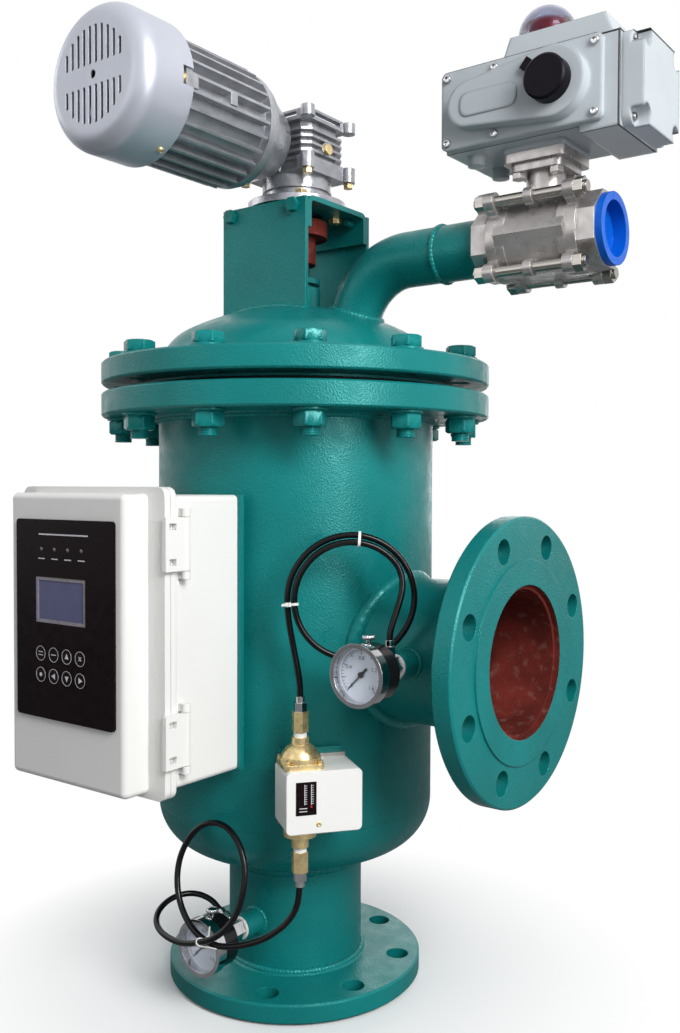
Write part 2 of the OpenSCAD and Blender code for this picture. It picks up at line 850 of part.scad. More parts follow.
module gearbox_covers() {
    low_z = base_top_z + low_cover_h0;
    top_h = top_cover_h1 - top_cover_h0;
    color(alloy) {
        difference() {
            union() {
                translate([0, 0, low_z]) gear_cover(low_cover_h1 - low_cover_h0);
                translate([0, 0, base_top_z]) cylinder(r = 58, h = foot_h);
                translate([0, 0, base_top_z]) cylinder(r = neck_r, h = low_cover_h0 + eps);
                translate([0, 0, base_top_z + 20]) cylinder(r = neck_r + 3, h = low_cover_h0 - 20 + eps);
            }
            translate([0, 0, base_top_z - eps]) cylinder(d = output_d + 2 * run_clear, h = 60);
            translate([0, 0, low_z + 3]) corners(18, gear_cover_y + 2)
                translate([-13, -5, 0]) cube([26, 10, 11]);
        }
        translate([0, 0, base_top_z + top_cover_h0]) difference() {
            gear_cover(top_h);
            translate([0, 0, top_h - 4]) linear_extrude(5)
                round_rect(2 * gear_cover_x - 18, 2 * gear_cover_y - 18, 6);
            for (s = [-1, 1]) translate([s * (gear_cover_x - 4), 0, 4]) translate([-5, -24, 0])
                cube([12, 48, 5]);
            for (s = [-1, 1]) translate([0, s * (gear_cover_y - 4), 4]) translate([-30, -5, 0])
                cube([60, 10, 5]);
        }
    }
}

module motor_frame() {
    term_h = 28;
    color(alloy) translate([motor_x, 0, motor_z]) to_front() {
        translate([0, 0, frame_y]) difference() {
            union() {
                cylinder(r = barrel_r, h = frame_len);
                for (i = [0 : fin_n - 1]) rotate([0, 0, (i + 0.5) * 360 / fin_n])
                    translate([barrel_r - 2, -1.6, 4]) cube([fin_r - barrel_r + 2, 3.2, frame_len - 8]);
                for (z = [57, 114])
                    translate([barrel_r - 2, -6, z]) cube([fin_r - barrel_r + 3, 12, 10]);
                translate([-fin_r - term_h, -28, 44]) cube([term_h + fin_r - barrel_r + 2, 56, 76]);
            }
            translate([0, 0, -eps]) cylinder(r = rotor_r + rotor_gap, h = frame_len + 2 * eps);
        }
        translate([0, 0, flange_y])
            ring(2 * fin_r - 4, 2 * (rotor_shaft_r + run_clear), frame_y - flange_y);
        translate([0, 0, cowl_y]) ring(2 * (cowl_r - cowl_t), 2 * (rotor_shaft_r + run_clear), shield_t);
        translate([-fin_r - term_h - 6, 0, frame_y + 82]) rotate([0, 90, 0])
            linear_extrude(6) round_rect(80, 60, 6);
    }
}

// Half section of the cowl: a cup with a round front edge
module cowl_section(inset) {
    r = cowl_r - inset;
    h = cowl_len - inset;
    e = cowl_edge - inset;
    square([r - e, h]);
    square([r, h - e]);
    translate([r - e, h - e]) circle(r = e);
}

module motor_cowl() {
    grille_r = 47;
    pitch = 8.6;
    inner = 10;
    color(alloy) translate([motor_x, 0, motor_z]) to_front() translate([0, 0, cowl_y]) difference() {
        rotate_extrude() difference() {
            intersection() {
                cowl_section(0);
                square([cowl_r, cowl_len]);
            }
            translate([0, -eps]) square([cowl_r - cowl_t, eps + 1]);
            cowl_section(cowl_t);
        }
        translate([0, 0, cowl_len - cowl_t - 1]) linear_extrude(cowl_t + 2) {
            for (i = [-4.5 : 4.5], s = [-1, 1]) {
                outer = sqrt(pow(grille_r, 2) - pow(i * pitch, 2));
                translate([i * pitch, s * (outer + inner) / 2]) slot(outer - inner, 4);
            }
            circle(r = 4);
        }
        for (s = [0, 180]) rotate([0, 0, s])
            translate([cowl_r - 8, -9, -1]) cube([16, 18, 15]);
    }
}

module motor_rotor() {
    core_y = frame_y + 22;
    fan_y = cowl_y + 20;
    blade_r = cowl_r - cowl_t - 10;
    color(steel) translate([motor_x, 0, motor_z]) to_front() {
        translate([0, 0, 30]) cylinder(r = rotor_shaft_r, h = fan_y + 18 - 30);
        translate([0, 0, core_y]) ring(2 * rotor_r, 2 * rotor_shaft_r, frame_len - 44);
        translate([0, 0, fan_y]) difference() {
            union() {
                cylinder(r = 15, h = 18);
                cylinder(r = blade_r - 4, h = 2);
                for (i = [0 : 7]) rotate([0, 0, 45 * i]) translate([10, -1, 0]) cube([blade_r - 10, 2, 18]);
            }
            translate([0, 0, -eps]) cylinder(r = rotor_shaft_r, h = 20);
        }
    }
}

// Drain and flushing valve

module drain_elbow() {
    bend_x = drain_x + drain_bend;
    bend_z = drain_z - drain_bend;
    bore = drain_d - 2 * drain_wall;
    color(paint) difference() {
        union() {
            translate([bend_x, 0, bend_z]) rotate([90, 0, 0]) rotate([0, 0, 90])
                rotate_extrude(angle = 90) translate([drain_bend, 0]) difference() {
                    circle(d = drain_d);
                    circle(d = bore);
                }
            translate([drain_x, 0, tangent_z]) ring(drain_d, bore, bend_z - tangent_z);
            translate([bend_x, 0, drain_z]) to_x() ring(drain_d, bore, valve_in_x + 10 - bend_x);
        }
        translate([0, 0, tangent_z]) dish_solid();
    }
}

module octagon(af, h) {
    rotate([0, 0, 22.5]) cylinder(d = af / cos(22.5), h = h, $fn = 8);
}

module tie_places() {
    for (j = [-1, 1], k = [-1, 1]) translate([0, j * tie_y, drain_z + k * tie_z]) children();
}

module valve_body() {
    neck_r_valve = 20;
    pad_z = drain_z + valve_neck_h;
    color(steel) difference() {
        union() {
            translate([body_x0, 0, drain_z]) to_x() cylinder(r = 40, h = 9);
            translate([body_x1 - 9, 0, drain_z]) to_x() cylinder(r = 40, h = 9);
            translate([body_x0, 0, drain_z]) to_x()
                rotate([0, 0, 30]) hex(77, valve_body_len);
            tie_places() translate([valve_x - 4.5, 0, 0]) to_x() cylinder(r = 8.5, h = 9);
            for (k = [-1, 1]) translate([valve_x, 0, drain_z + k * (tie_z - 3)])
                cube([9, 2 * tie_y, 11], center = true);
            translate([valve_x, 0, drain_z]) cylinder(r = neck_r_valve, h = valve_neck_h + eps);
            translate([valve_x, 0, pad_z]) linear_extrude(valve_pad_t)
                round_rect(valve_pad_w, valve_pad_w, 8);
        }
        translate([body_x0 - eps, 0, drain_z]) to_x()
            cylinder(r = seat_ring_r, h = valve_body_len + 2 * eps);
        translate([valve_x, 0, drain_z]) cylinder(d = stem_d + 2 * run_clear, h = 120);
        tie_places() translate([body_x0, 0, 0]) to_x() cylinder(d = tie_d, h = valve_body_len);
        translate([valve_x, 0, pad_z - eps]) corners(20, 20) cylinder(d = 8, h = valve_pad_t + 2 * eps);
    }
}

// Eared joint plate of a valve end
module ear_plan() {
    difference() {
        union() {
            circle(r = 40);
            for (j = [-1, 1], k = [-1, 1]) {
                translate([k * tie_z, j * tie_y]) circle(r = 9.5);
                rotate([0, 0, atan2(j * tie_y, k * tie_z)]) translate([20, -7]) square([28, 14]);
            }
        }
        circle(d = valve_bore);
        for (j = [-1, 1], k = [-1, 1]) translate([k * tie_z, j * tie_y]) circle(d = tie_d);
    }
}

// One screwed end with its four ears, joint face at x = 0 and its octagon towards +X
module valve_end() {
    socket = 10;
    to_x() linear_extrude(ear_t) ear_plan();
    translate([ear_t, 0, 0]) to_x() difference() {
        octagon(valve_end_af, valve_end_len);
        translate([0, 0, -eps]) cylinder(d = valve_bore, h = valve_end_len);
        translate([0, 0, valve_end_len - socket]) cylinder(d = drain_d, h = socket + eps);
    }
}

module valve_ends() {
    color(steel) {
        translate([body_x1, 0, drain_z]) valve_end();
        translate([body_x0, 0, drain_z]) rotate([0, 0, 180]) valve_end();
    }
}

module valve_seats() {
    seat_w = 13;
    color(ivory) for (s = [0, 180]) translate([valve_x, 0, drain_z]) rotate([0, 0, s]) difference() {
        translate([valve_body_len / 2 - seat_w, 0, 0]) to_x() ring(2 * seat_ring_r, valve_bore, seat_w);
        sphere(d = ball_d + 2 * ball_clear);
    }
}

module valve_bolts() {
    nut = 9;
    x0 = body_x0 - ear_t;
    len = valve_body_len + 2 * ear_t;
    color(steel) tie_places() {
        translate([x0 - nut - 3, 0, 0]) to_x() cylinder(d = tie_d, h = len + 2 * nut + 6);
        for (x = [x0 - nut, x0 + len]) translate([x, 0, 0]) to_x() difference() {
            hex(17, nut);
            translate([0, 0, -eps]) cylinder(d = tie_d, h = nut + 2 * eps);
        }
    }
}

tang_w = 9;
tang_z = drain_z + ball_d / 2 - 7;

module valve_ball() {
    color(chrome) difference() {
        translate([valve_x, 0, drain_z]) sphere(d = ball_d);
        translate([valve_x, 0, drain_z]) to_front() translate([0, 0, -ball_d])
            cylinder(d = valve_bore, h = 2 * ball_d);
        translate([valve_x - tang_w / 2, -ball_d, tang_z]) cube([tang_w, 2 * ball_d, ball_d]);
    }
}

module valve_stem() {
    foot_z = drain_z + ball_d / 2 + 1.5;
    color(steel) {
        intersection() {
            translate([valve_x, 0, tang_z]) cylinder(d = stem_d, h = foot_z - tang_z);
            translate([valve_x - tang_w / 2, -ball_d, tang_z]) cube([tang_w, 2 * ball_d, ball_d]);
        }
        translate([valve_x, 0, foot_z]) cylinder(d = stem_d, h = crown_top_z + 4 - foot_z);
    }
}

module port_cap() {
    plug_r = drain_d / 2;
    rim = 7;
    color("#1464d8") translate([valve_out_x - 9, 0, drain_z]) to_x() difference() {
        union() {
            cylinder(r = plug_r, h = 9 + eps);
            translate([0, 0, 9]) cylinder(r = 35, h = rim);
        }
        translate([0, 0, 2]) cylinder(r = plug_r - 3, h = 9 + rim);
    }
}

// Actuator

module actuator_mount() {
    z0 = act_pad_z - mount_t;
    color(steel) {
        difference() {
            translate([valve_x, 0, z0]) linear_extrude(mount_t) round_rect(mount_w, mount_w, 6);
            translate([valve_x, 0, z0 - eps]) cylinder(d = stem_d + 2 * run_clear, h = mount_t + 2 * eps);
            translate([valve_x, 0, z0 - eps]) corners(20, 20) cylinder(d = 8, h = mount_t + 2 * eps);
        }
        translate([valve_x, 0, z0 - valve_pad_t - 6]) corners(20, 20) {
            hex(13, 6);
            cylinder(d = 8, h = mount_t + valve_pad_t + 6);
        }
    }
}

module actuator_case() {
    wing_x = act_x1 - 39;
    color(grey) difference() {
        union() {
            box([act_x0, act_front_y, act_low_z], [act_x1, -act_front_y, act_top_z]);
            box([wing_x, act_front_y, act_pad_z], [act_x1, -act_front_y, act_low_z + eps]);
            translate([valve_x, 0, act_pad_z]) linear_extrude(act_pad_t + eps)
                round_rect(mount_w, mount_w, 4);
            for (y = [-26, 26]) translate([act_x0 + 22, y, act_low_z - 10]) cylinder(r = 9, h = 10 + eps);
        }
        translate([valve_x, 0, act_pad_z - eps]) cylinder(d = stem_d + 2 * run_clear, h = act_h + 20);
    }
}

// Cover outline of the gear side: a flange with a raised pear-shaped boss
module pear(grow) {
    hull() {
        translate([-48, -2]) circle(r = 22 + grow, $fn = 32);
        translate([40, 0]) circle(r = 33 + grow, $fn = 48);
    }
}

module crown_block() {
    z = act_top_z;
    d = act_depth - 8;
    draft = 5;
    hull() {
        box([crown_x0, -d / 2, z], [crown_x1, d / 2, z + 1]);
        box([crown_x0 + draft, -d / 2 + draft, z], [crown_x1 - 2 * draft, d / 2 - draft, z + crown_h]);
    }
}

module actuator_covers() {
    w = act_len - 12;
    h = act_h - 3;
    z = act_low_z + act_h / 2;
    color(grey) {
        translate([act_x0 + w / 2 - 2, act_front_y, z]) to_front() {
            linear_extrude(act_cover_t) round_rect(w, h, 6);
            translate([0, 0, act_cover_t]) linear_extrude(act_boss_t) pear(0);
        }
        translate([act_x1, 0, (act_pad_z + act_top_z) / 2]) to_x() difference() {
            linear_extrude(act_cap_t) round_rect(act_top_z - act_pad_z, act_depth - 2 * act_cap_in, 10);
            translate([0, 0, act_pocket_z])
                corners((act_top_z - act_pad_z) / 2 - 8, act_depth / 2 - act_cap_in - 8)
                    cylinder(r = 9.5, h = act_cap_t);
        }
        difference() {
            crown_block();
            translate([valve_x, 0, act_top_z - eps])
                cylinder(d = stem_d + 2 * run_clear, h = crown_h + 2 * eps);
        }
    }
}

module actuator_screws() {
    w = act_len - 12;
    h = act_h - 3;
    color(chrome) {
        translate([act_x0 + w / 2 - 2, act_front_y - act_cover_t, act_low_z + act_h / 2]) to_front()
            for (x = [-w / 2 + 7, -w / 2 + 60, w / 2 - 7], s = [-1, 1]) translate([x, s * (h / 2 - 7), 0])
                cylinder(r = 4, h = 3);
        translate([act_x1 + act_pocket_z, 0, (act_pad_z + act_top_z) / 2]) to_x()
            corners((act_top_z - act_pad_z) / 2 - 8, act_depth / 2 - act_cap_in - 8)
                cylinder(r = 4, h = 3);
    }
}

module indicator_dome() {
    wall = 2;
    skirt = 10;
    color("#c8d4d4", 0.4) translate([valve_x, 0, crown_top_z]) difference() {
        union() {
            cylinder(r = dome_r + 5, h = 3);
            cylinder(r = dome_r, h = skirt + eps);
            translate([0, 0, skirt]) sphere(r = dome_r);
        }
        translate([0, 0, -dome_r]) cylinder(r = 2 * dome_r, h = dome_r);
        translate([0, 0, -eps]) cylinder(r = dome_r - wall, h = skirt + 2 * eps);
        translate([0, 0, skirt]) sphere(r = dome_r - wall);
    }
}

module indicator_drum() {
    lift = 0.6;
    color("#b3262b") translate([valve_x, 0, crown_top_z + lift]) difference() {
        cylinder(r = dome_r - 7, h = drum_h);
        translate([0, 0, -eps]) cylinder(d = stem_d, h = 4 - lift + eps);
        for (s = [0, 180]) rotate([0, 0, s]) translate([dome_r - 12, -5, 5]) cube([8, 10, 12]);
    }
}

module override_cap() {
    x = act_x0 + (act_len - 12) / 2 - 2 + 40;
    color(black) translate([x, act_front_y - act_cover_t - act_boss_t, act_low_z + act_h / 2]) to_front() {
        cylinder(r = 21, h = 13);
        translate([0, 0, 13]) cylinder(r1 = 21, r2 = 19, h = 2);
        rotate([0, 0, 140]) translate([16, -6, 0]) cube([18, 12, 4]);
    }
}

// Control box

module box_case() {
    color(ivory) difference() {
        union() {
            translate([box_left + box_w / 2, box_back_y, box_mid_z]) to_front()
                linear_extrude(box_depth) round_rect(box_w, box_h, 6);
            translate([box_left + box_w / 2, box_rim_y, box_mid_z]) to_front()
                linear_extrude(box_rim_t) round_rect(box_w + 2 * box_rim, box_h + 4 * box_rim, 10);
            for (z = hinge_zs, s = [-1, 1]) translate([hinge_x, seam_y, z + s * 15]) base_knuckle();
            for (z = latch_zs, s = [-1, 1]) translate([latch_x, latch_pivot_y, z + s * (latch_h / 2 + 4.3)])
                latch_lug();
        }
        translate([box_left + box_w / 2, box_back_y - box_wall, box_mid_z]) to_front()
            linear_extrude(box_depth) round_rect(box_w - 2 * box_wall, box_h - 2 * box_wall, 4);
    }
    color(steel) {
        for (z = hinge_zs) translate([hinge_x, seam_y, z - 20]) cylinder(r = hinge_pin_r, h = 40);
        for (z = latch_zs) translate([latch_x, latch_pivot_y, z - latch_h / 2 - 8])
            cylinder(r = hinge_pin_r, h = latch_h + 16);
    }
}

module base_knuckle() {
    translate([0, 0, -5]) linear_extrude(10) {
        circle(r = hinge_r);
        translate([1, 0.4]) square([hinge_r + 2, hinge_r - 1.4]);
    }
}

module latch_lug() {
    reach = latch_x - box_right + 1;
    translate([0, 0, -4]) linear_extrude(8) {
        circle(r = 4.5);
        translate([-reach, -3.8]) square([reach, 7.6]);
    }
}

module door_form(inset) {
    w = box_w + 2 * box_rim - door_left - door_right - 2 * inset;
    h = box_h + 4 * box_rim - door_top - door_bottom - 2 * inset;
    e = door_edge - inset;
    translate([(door_left - door_right) / 2, (door_bottom - door_top) / 2, 0]) hull() {
        translate([0, 0, -1]) linear_extrude(2) round_rect(w, h, e);
        translate([0, 0, door_rise + door_rim_t - e - inset]) corners(w / 2 - e, h / 2 - e)
            sphere(r = e, $fn = 32);
    }
}

module box_door() {
    w = box_w + 2 * box_rim;
    h = box_h + 4 * box_rim;
    color(ivory) difference() {
        union() {
            translate([box_left + box_w / 2, seam_y - seam_gap, box_mid_z]) to_front() {
                linear_extrude(door_rim_t) round_rect(w, h, 10);
                intersection() {
                    door_form(0);
                    translate([-w, -h, 0]) cube([2 * w, 2 * h, 2 * door_rise]);
                }
            }
            for (z = hinge_zs) translate([hinge_x, seam_y, z]) door_knuckle();
        }
        translate([box_left + box_w / 2, seam_y - seam_gap, box_mid_z]) to_front() door_form(box_wall);
        for (z = hinge_zs) translate([hinge_x, seam_y, z - 12])
            cylinder(r = hinge_pin_r + run_clear, h = 24);
    }
}

module door_knuckle() {
    half = 9.6;
    translate([0, 0, -half]) linear_extrude(2 * half) {
        circle(r = hinge_r);
        translate([1, -hinge_r - 0.4]) square([hinge_r + 2, hinge_r - 0.2]);
    }
}

module latch() {
    length = latch_pivot_y - latch_tip_y;
    color(ivory) difference() {
        union() {
            translate([0, 0, -latch_h / 2]) cylinder(r = latch_t / 2 + 1.6, h = latch_h);
            translate([-latch_t / 2, -length, -latch_h / 2]) cube([latch_t, length, latch_h]);
        }
        translate([-latch_t / 2 - 6, -2 * length, -latch_h]) cube([6, 4 * length, 2 * latch_h]);
        translate([0, 0, -latch_h]) cylinder(r = hinge_pin_r + run_clear, h = 2 * latch_h);
        for (s = [-1, 1]) translate([-latch_t, -length + 5, s * 17 - 3]) cube([2 * latch_t, 9, 6]);
    }
}

module latch_upper() {
    translate([latch_x, latch_pivot_y, latch_zs[0]]) latch();
}

module latch_lower() {
    translate([latch_x, latch_pivot_y, latch_zs[1]]) latch();
}

// Key places count along the upper row, then along the lower row
function key_x(i) = panel_x - panel_w / 2 + 39.5 + (i % 4) * key_pitch_x;
function key_z(i) = panel_z - panel_h / 2 + 65.5 - floor(i / 4) * key_pitch_z;

module keypad_panel() {
    lcd = [76, 46];
    lcd_x = panel_x - panel_w / 2 + 70;
    lcd_z = panel_z + panel_h / 2 - 81;
    color(black) difference() {
        translate([panel_x, door_front_y, panel_z]) to_front() linear_extrude(panel_t)
            round_rect(panel_w, panel_h, 4);
        for (i = [0 : 7]) translate([key_x(i), door_front_y + eps, key_z(i)]) to_front()
            cylinder(d = key_d + 2 * key_clear, h = panel_t + 2 * eps);
        translate([lcd_x, panel_y + 1.2, lcd_z]) to_front() linear_extrude(2) square(lcd, center = true);
    }
}

module key(i) {
    color(black) translate([key_x(i), panel_y + key_t - key_proud, key_z(i)]) to_front()
        cylinder(d = key_d, h = key_t);
}

// Gauges

module gauge_cases() {
    for (g = gauge_places) translate([g[0], 0, g[1]]) to_front() {
        color(black) difference() {
            translate([0, 0, gauge_back_y]) cylinder(r = case_r, h = gauge_front_y - gauge_back_y - 4);
            translate([0, 0, dial_y - 2]) cylinder(r = case_r - 2, h = 30);
        }
        color(chrome) difference() {
            union() {
                translate([0, 0, gauge_front_y - 12]) ring(2 * bezel_r, 2 * case_r, 12);
                translate([0, 0, gauge_front_y - 4]) ring(2 * bezel_r, 2 * case_r - 4, 4);
            }
        }
        color("white") translate([0, 0, dial_y - 2]) ring(2 * case_r - 4, 3, 1.5);
        color(chrome) translate([0, case_r - 0.5, gauge_back_y + 12]) rotate([-90, 0, 0]) {
            cylinder(r = 2.5, h = 5);
            translate([0, 0, 5]) cylinder(r = 4.5, h = 3);
        }
    }
}

module gauge_lenses() {
    color("#dfe8ea", 0.3) for (g = gauge_places) translate([g[0], 0, g[1]]) to_front()
        translate([0, 0, gauge_front_y - 5.6]) cylinder(r = case_r - 2, h = 1.6);
}

module needle(g, angle) {
    length = case_r - 8;
    color(black) translate([g[0], 0, g[1]]) to_front() translate([0, 0, dial_y]) rotate([0, 0, angle]) {
        translate([0, 0, -2]) cylinder(r = 1.45, h = 2.2);
        cylinder(r = 3, h = 1.6);
        translate([0, -0.6, 0.2]) cube([length, 1.2, 0.8]);
        translate([-9, -1.2, 0.2]) cube([9, 2.4, 0.8]);
    }
}

module needle_outlet() {
    needle(gauge_places[0], 225);
}

module needle_inlet() {
    needle(gauge_places[1], 225);
}

// Pressure switch and hose fittings

module in_switch() {
    rotate([0, 0, switch_angle]) children();
}

module dp_switch() {
    mid_t = switch_t0 + switch_w / 2;
    in_switch() translate([0, mid_t, switch_z + switch_h / 2]) {
        color(steel) translate([switch_back_n, 0, 0]) to_x() linear_extrude(3)
            square([switch_h + 8, switch_w - 6], center = true);
        color(ivory) translate([switch_lid_n, 0, 0]) to_x() linear_extrude(switch_depth)
            round_rect(switch_h, switch_w, 5);
    }
}

// Adaptor, taped thread and hose nut, standing up from z = 0
module adaptor() {
    color("white") cylinder(r = 6.8, h = 5);
    color(brass) translate([0, 0, 5]) hex(15, 21);
    color(chrome) translate([0, 0, 26]) hose_nut();
}

module hose_nut() {
    hex(12, 9);
    translate([0, 0, 9]) cylinder(r = 4.8, h = 6);
}

module hose_fittings() {
    in_switch() {
        translate([bellows_n, bellows_t, bellows_top_z]) {
            color(brass) {
                linear_extrude(5) round_rect(42, 42, 6);
                translate([0, 0, 5]) corners(17, 17) cylinder(r = 2.6, h = 3);
                translate([0, 0, 5]) cylinder(r = 21, h = 5);
                translate([0, 0, 10]) intersection() {
                    translate([0, 0, -5.7]) sphere(r = 20.3);
                    cylinder(r = 19.5, h = 12);
                }
                translate([0, 0, 21]) cylinder(r = 9, h = 8);
            }
            translate([0, 0, 29]) adaptor();
        }
        translate([bellows_n, bellows_t, switch_z]) mirror([0, 0, 1]) {
            color(brass) {
                cylinder(r = 17, h = 9);
                translate([0, 0, 9]) cylinder(r = 9, h = 12);
            }
            translate([0, 0, 21]) adaptor();
        }
    }
    for (g = gauge_places) translate([g[0], 0, g[1]]) {
        color(brass) to_front() {
            translate([0, 0, stub_y]) hex(22, 20);
            translate([0, 0, stub_y + 20]) hex(17, gauge_back_y - stub_y - 20);
        }
        color(chrome) translate([0, -tee_y, 0]) rotate([0, g[2], 0]) {
            translate([0, 0, 9]) cylinder(r = 6, h = hose_nut_h - 15 - 9);
            translate([0, 0, hose_nut_h - 15]) hose_nut();
        }
    }
}

// Hose swept along a route: one ring of points at each route point
hose_sides = 8;
function unit(v) = v / norm(v);
function heading(p, i) = unit(p[min(i + 1, len(p) - 1)] - p[max(i - 1, 0)]);
function side_of(h) = unit(cross(h, abs(h[2]) > 0.9 ? [1, 0, 0] : [0, 0, 1]));
function carry(s, h) = unit(s - (s * h) * h);
function frames(p, i = 0, s = undef) = i == len(p) ? [] :
    let (h = heading(p, i), a = carry(is_undef(s) ? side_of(h) : s, h))
    concat([[a, cross(h, a)]], frames(p, i + 1, a));

module hose(route) {
    f = frames(route);
    n = len(route);
    m = hose_sides;
    points = [for (i = [0 : n - 1], k = [0 : m - 1])
        route[i] + hose_d / 2 * (cos(360 * k / m) * f[i][0] + sin(360 * k / m) * f[i][1])];
    sides = [for (i = [0 : n - 2], k = [0 : m - 1])
        [i * m + k, i * m + (k + 1) % m, (i + 1) * m + (k + 1) % m, (i + 1) * m + k]];
    ends = [[for (k = [m - 1 : -1 : 0]) k], [for (k = [0 : m - 1]) (n - 1) * m + k]];
    color(black) polyhedron(points, concat([for (q = sides) [q[3], q[2], q[1], q[0]]],
        [for (e = ends) [for (j = [m - 1 : -1 : 0]) e[j]]]));
}

module hose_upper() {
    hose(hose_upper_route);
}

module hose_lower() {
    hose(hose_lower_route);
}

shell();
bottom_head();
nozzle_pipes();
inlet_flange();
outlet_flange();
body_flange();
body_gasket();
cover_flange();
cover_head();
cover_bolts();
weld_brackets();
screen();
screen_seats();
cleaner_shaft();
suction_arms();
shaft_coupling();
seal_housing();
drive_base();
drive_bolts();
gearbox_housing();
gearbox_covers();
motor_frame();
motor_cowl();
motor_rotor();
drain_elbow();
valve_body();
valve_ends();
valve_seats();
valve_bolts();
valve_ball();
valve_stem();
port_cap();
actuator_mount();
actuator_case();
actuator_covers();
actuator_screws();
indicator_dome();
indicator_drum();
override_cap();
box_case();
box_door();
keypad_panel();
latch_upper();
latch_lower();
for (i = [0 : 7]) key(i);
gauge_cases();
gauge_lenses();
needle_outlet();
needle_inlet();
dp_switch();
hose_fittings();
hose_upper();
hose_lower();
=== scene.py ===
"""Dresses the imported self-cleaning filter: paint, metals, printed faces, weld beads, fasteners and hoses."""

import math

import bmesh
import bpy
from mathutils import Matrix, Vector


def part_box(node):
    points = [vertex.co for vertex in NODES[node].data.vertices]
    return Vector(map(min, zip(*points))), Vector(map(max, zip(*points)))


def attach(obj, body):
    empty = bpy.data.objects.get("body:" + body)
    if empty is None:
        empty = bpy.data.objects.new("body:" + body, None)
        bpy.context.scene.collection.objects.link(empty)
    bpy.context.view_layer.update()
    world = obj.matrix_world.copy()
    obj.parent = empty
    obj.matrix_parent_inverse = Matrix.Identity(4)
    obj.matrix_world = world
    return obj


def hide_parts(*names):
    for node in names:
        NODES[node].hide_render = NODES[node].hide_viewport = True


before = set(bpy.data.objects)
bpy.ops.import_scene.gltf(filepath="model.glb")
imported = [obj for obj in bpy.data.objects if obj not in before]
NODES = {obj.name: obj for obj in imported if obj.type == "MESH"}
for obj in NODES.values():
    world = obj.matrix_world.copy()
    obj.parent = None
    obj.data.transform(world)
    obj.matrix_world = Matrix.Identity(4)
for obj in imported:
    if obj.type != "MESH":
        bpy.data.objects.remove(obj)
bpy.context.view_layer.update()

bl_info = {
    "name": "Self-cleaning filter",
    "version": (1, 0, 0),
    "blender": (4, 5, 0),
    "location": "View3D > Sidebar > Filter",
    "description": "Gives the packed filter its paint, metals, print, hoses and stage",
    "category": "Object",
}

MM = 0.001
LOW, HIGH = 0, 1


def middle(node, axis):
    """Middle of a CAD node's box along one axis."""
    low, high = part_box(node)
    return (getattr(low, axis) + getattr(high, axis)) / 2


# Places read from the frame, in metres
SHELL_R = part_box("shell")[HIGH].x
SHELL_FOOT_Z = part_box("shell")[LOW].z
BODY_FLANGE_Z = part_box("shell")[HIGH].z
COVER_TOP_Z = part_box("cover_flange")[HIGH].z
OUTLET_Z = middle("outlet_flange", "z")
OUTLET_BACK_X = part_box("outlet_flange")[LOW].x
DRAIN_Z = middle("port_cap", "z")
STAND_HALF_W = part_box("drive_base")[HIGH].x
MOTOR_X, MOTOR_Z = middle("motor_cowl", "x"), middle("motor_cowl", "z")

# Places in the CAD model that no box gives; the bands are heights in millimetres
PIPE_R = 79.5 * MM
INLET_PIPE_TOP_Z, OUTLET_PIPE_FOOT_X = 0.16, 0.14
STAND_PLATE_Y = (56 * MM, 61 * MM)
STAND_BOLT_R, STAND_BOLT_TOP_Z = 54 * MM, 0.91
BOLT_CIRCLE_R, BOLT_START = 204 * MM, math.radians(13)
GAUGES = {"outlet": Vector((213, 0, 400)) * MM, "inlet": Vector((5, 0, 81)) * MM}
GAUGE_SPLIT_X = 0.11
DIAL_Y = -162.0 * MM
VENT_Y = PIPE_R + 71 * MM
STUB_R, STUB_TAPE_Y = 14 * MM, -104.7 * MM
SWITCH_ANGLE = math.radians(-37)
SWITCH_FRONT, SWITCH_PLATE_FRONT = 225 * MM, 174.4 * MM
SWITCH_PORT = Vector((131.6, -154.3, 0)) * MM
SWITCH_PORT_R, SWITCH_LOW_Z = 40 * MM, 0.17
TAPE_BANDS = ((327.2, 331.8), (210.2, 214.8))
CHROME_BANDS = ((353.2, 369), (173, 188.8))


# Sizes and colours a user would change


class FilterSizes(bpy.types.PropertyGroup):
    """Sizes of the fine detail"""

    hose_d: bpy.props.FloatProperty(
        name="Hose diameter", description="Outer diameter of a sensing hose", default=6.5 * MM, unit="LENGTH")
    bead_r: bpy.props.FloatProperty(
        name="Weld bead", description="Radius of the weld beads", default=3.2 * MM, unit="LENGTH")
    bead_pitch: bpy.props.FloatProperty(
        name="Weld ripple", description="Length of one ripple of a bead", default=4.2 * MM, unit="LENGTH")
    bolt_d: bpy.props.FloatProperty(
        name="Cover bolt", description="Thread diameter of the cover bolts", default=20 * MM, unit="LENGTH")
    print_t: bpy.props.FloatProperty(
        name="Print", description="Thickness of printed marks", default=0.12 * MM, unit="LENGTH")


class FilterColours(bpy.types.PropertyGroup):
    """Colours of the main finishes"""

    paint: bpy.props.FloatVectorProperty(
        name="Vessel paint", description="Gloss paint of the vessel", subtype="COLOR", size=3,
        default=(0.004, 0.184, 0.179))
    oxide: bpy.props.FloatVectorProperty(
        name="Primer", description="Red oxide primer of the bores and coupling", subtype="COLOR", size=3,
        default=(0.155, 0.022, 0.016))
    shell_white: bpy.props.FloatVectorProperty(
        name="Box plastic", description="Moulded plastic of the control box", subtype="COLOR", size=3,
        default=(0.82, 0.81, 0.785))
    actuator: bpy.props.FloatVectorProperty(
        name="Actuator coat", description="Powder coat of the actuator", subtype="COLOR", size=3,
        default=(0.475, 0.515, 0.545))
    cap: bpy.props.FloatVectorProperty(
        name="Port cap", description="Plastic of the shipping cap", subtype="COLOR", size=3,
        default=(0.001, 0.105, 0.56))


# Node helpers, for shader and geometry trees


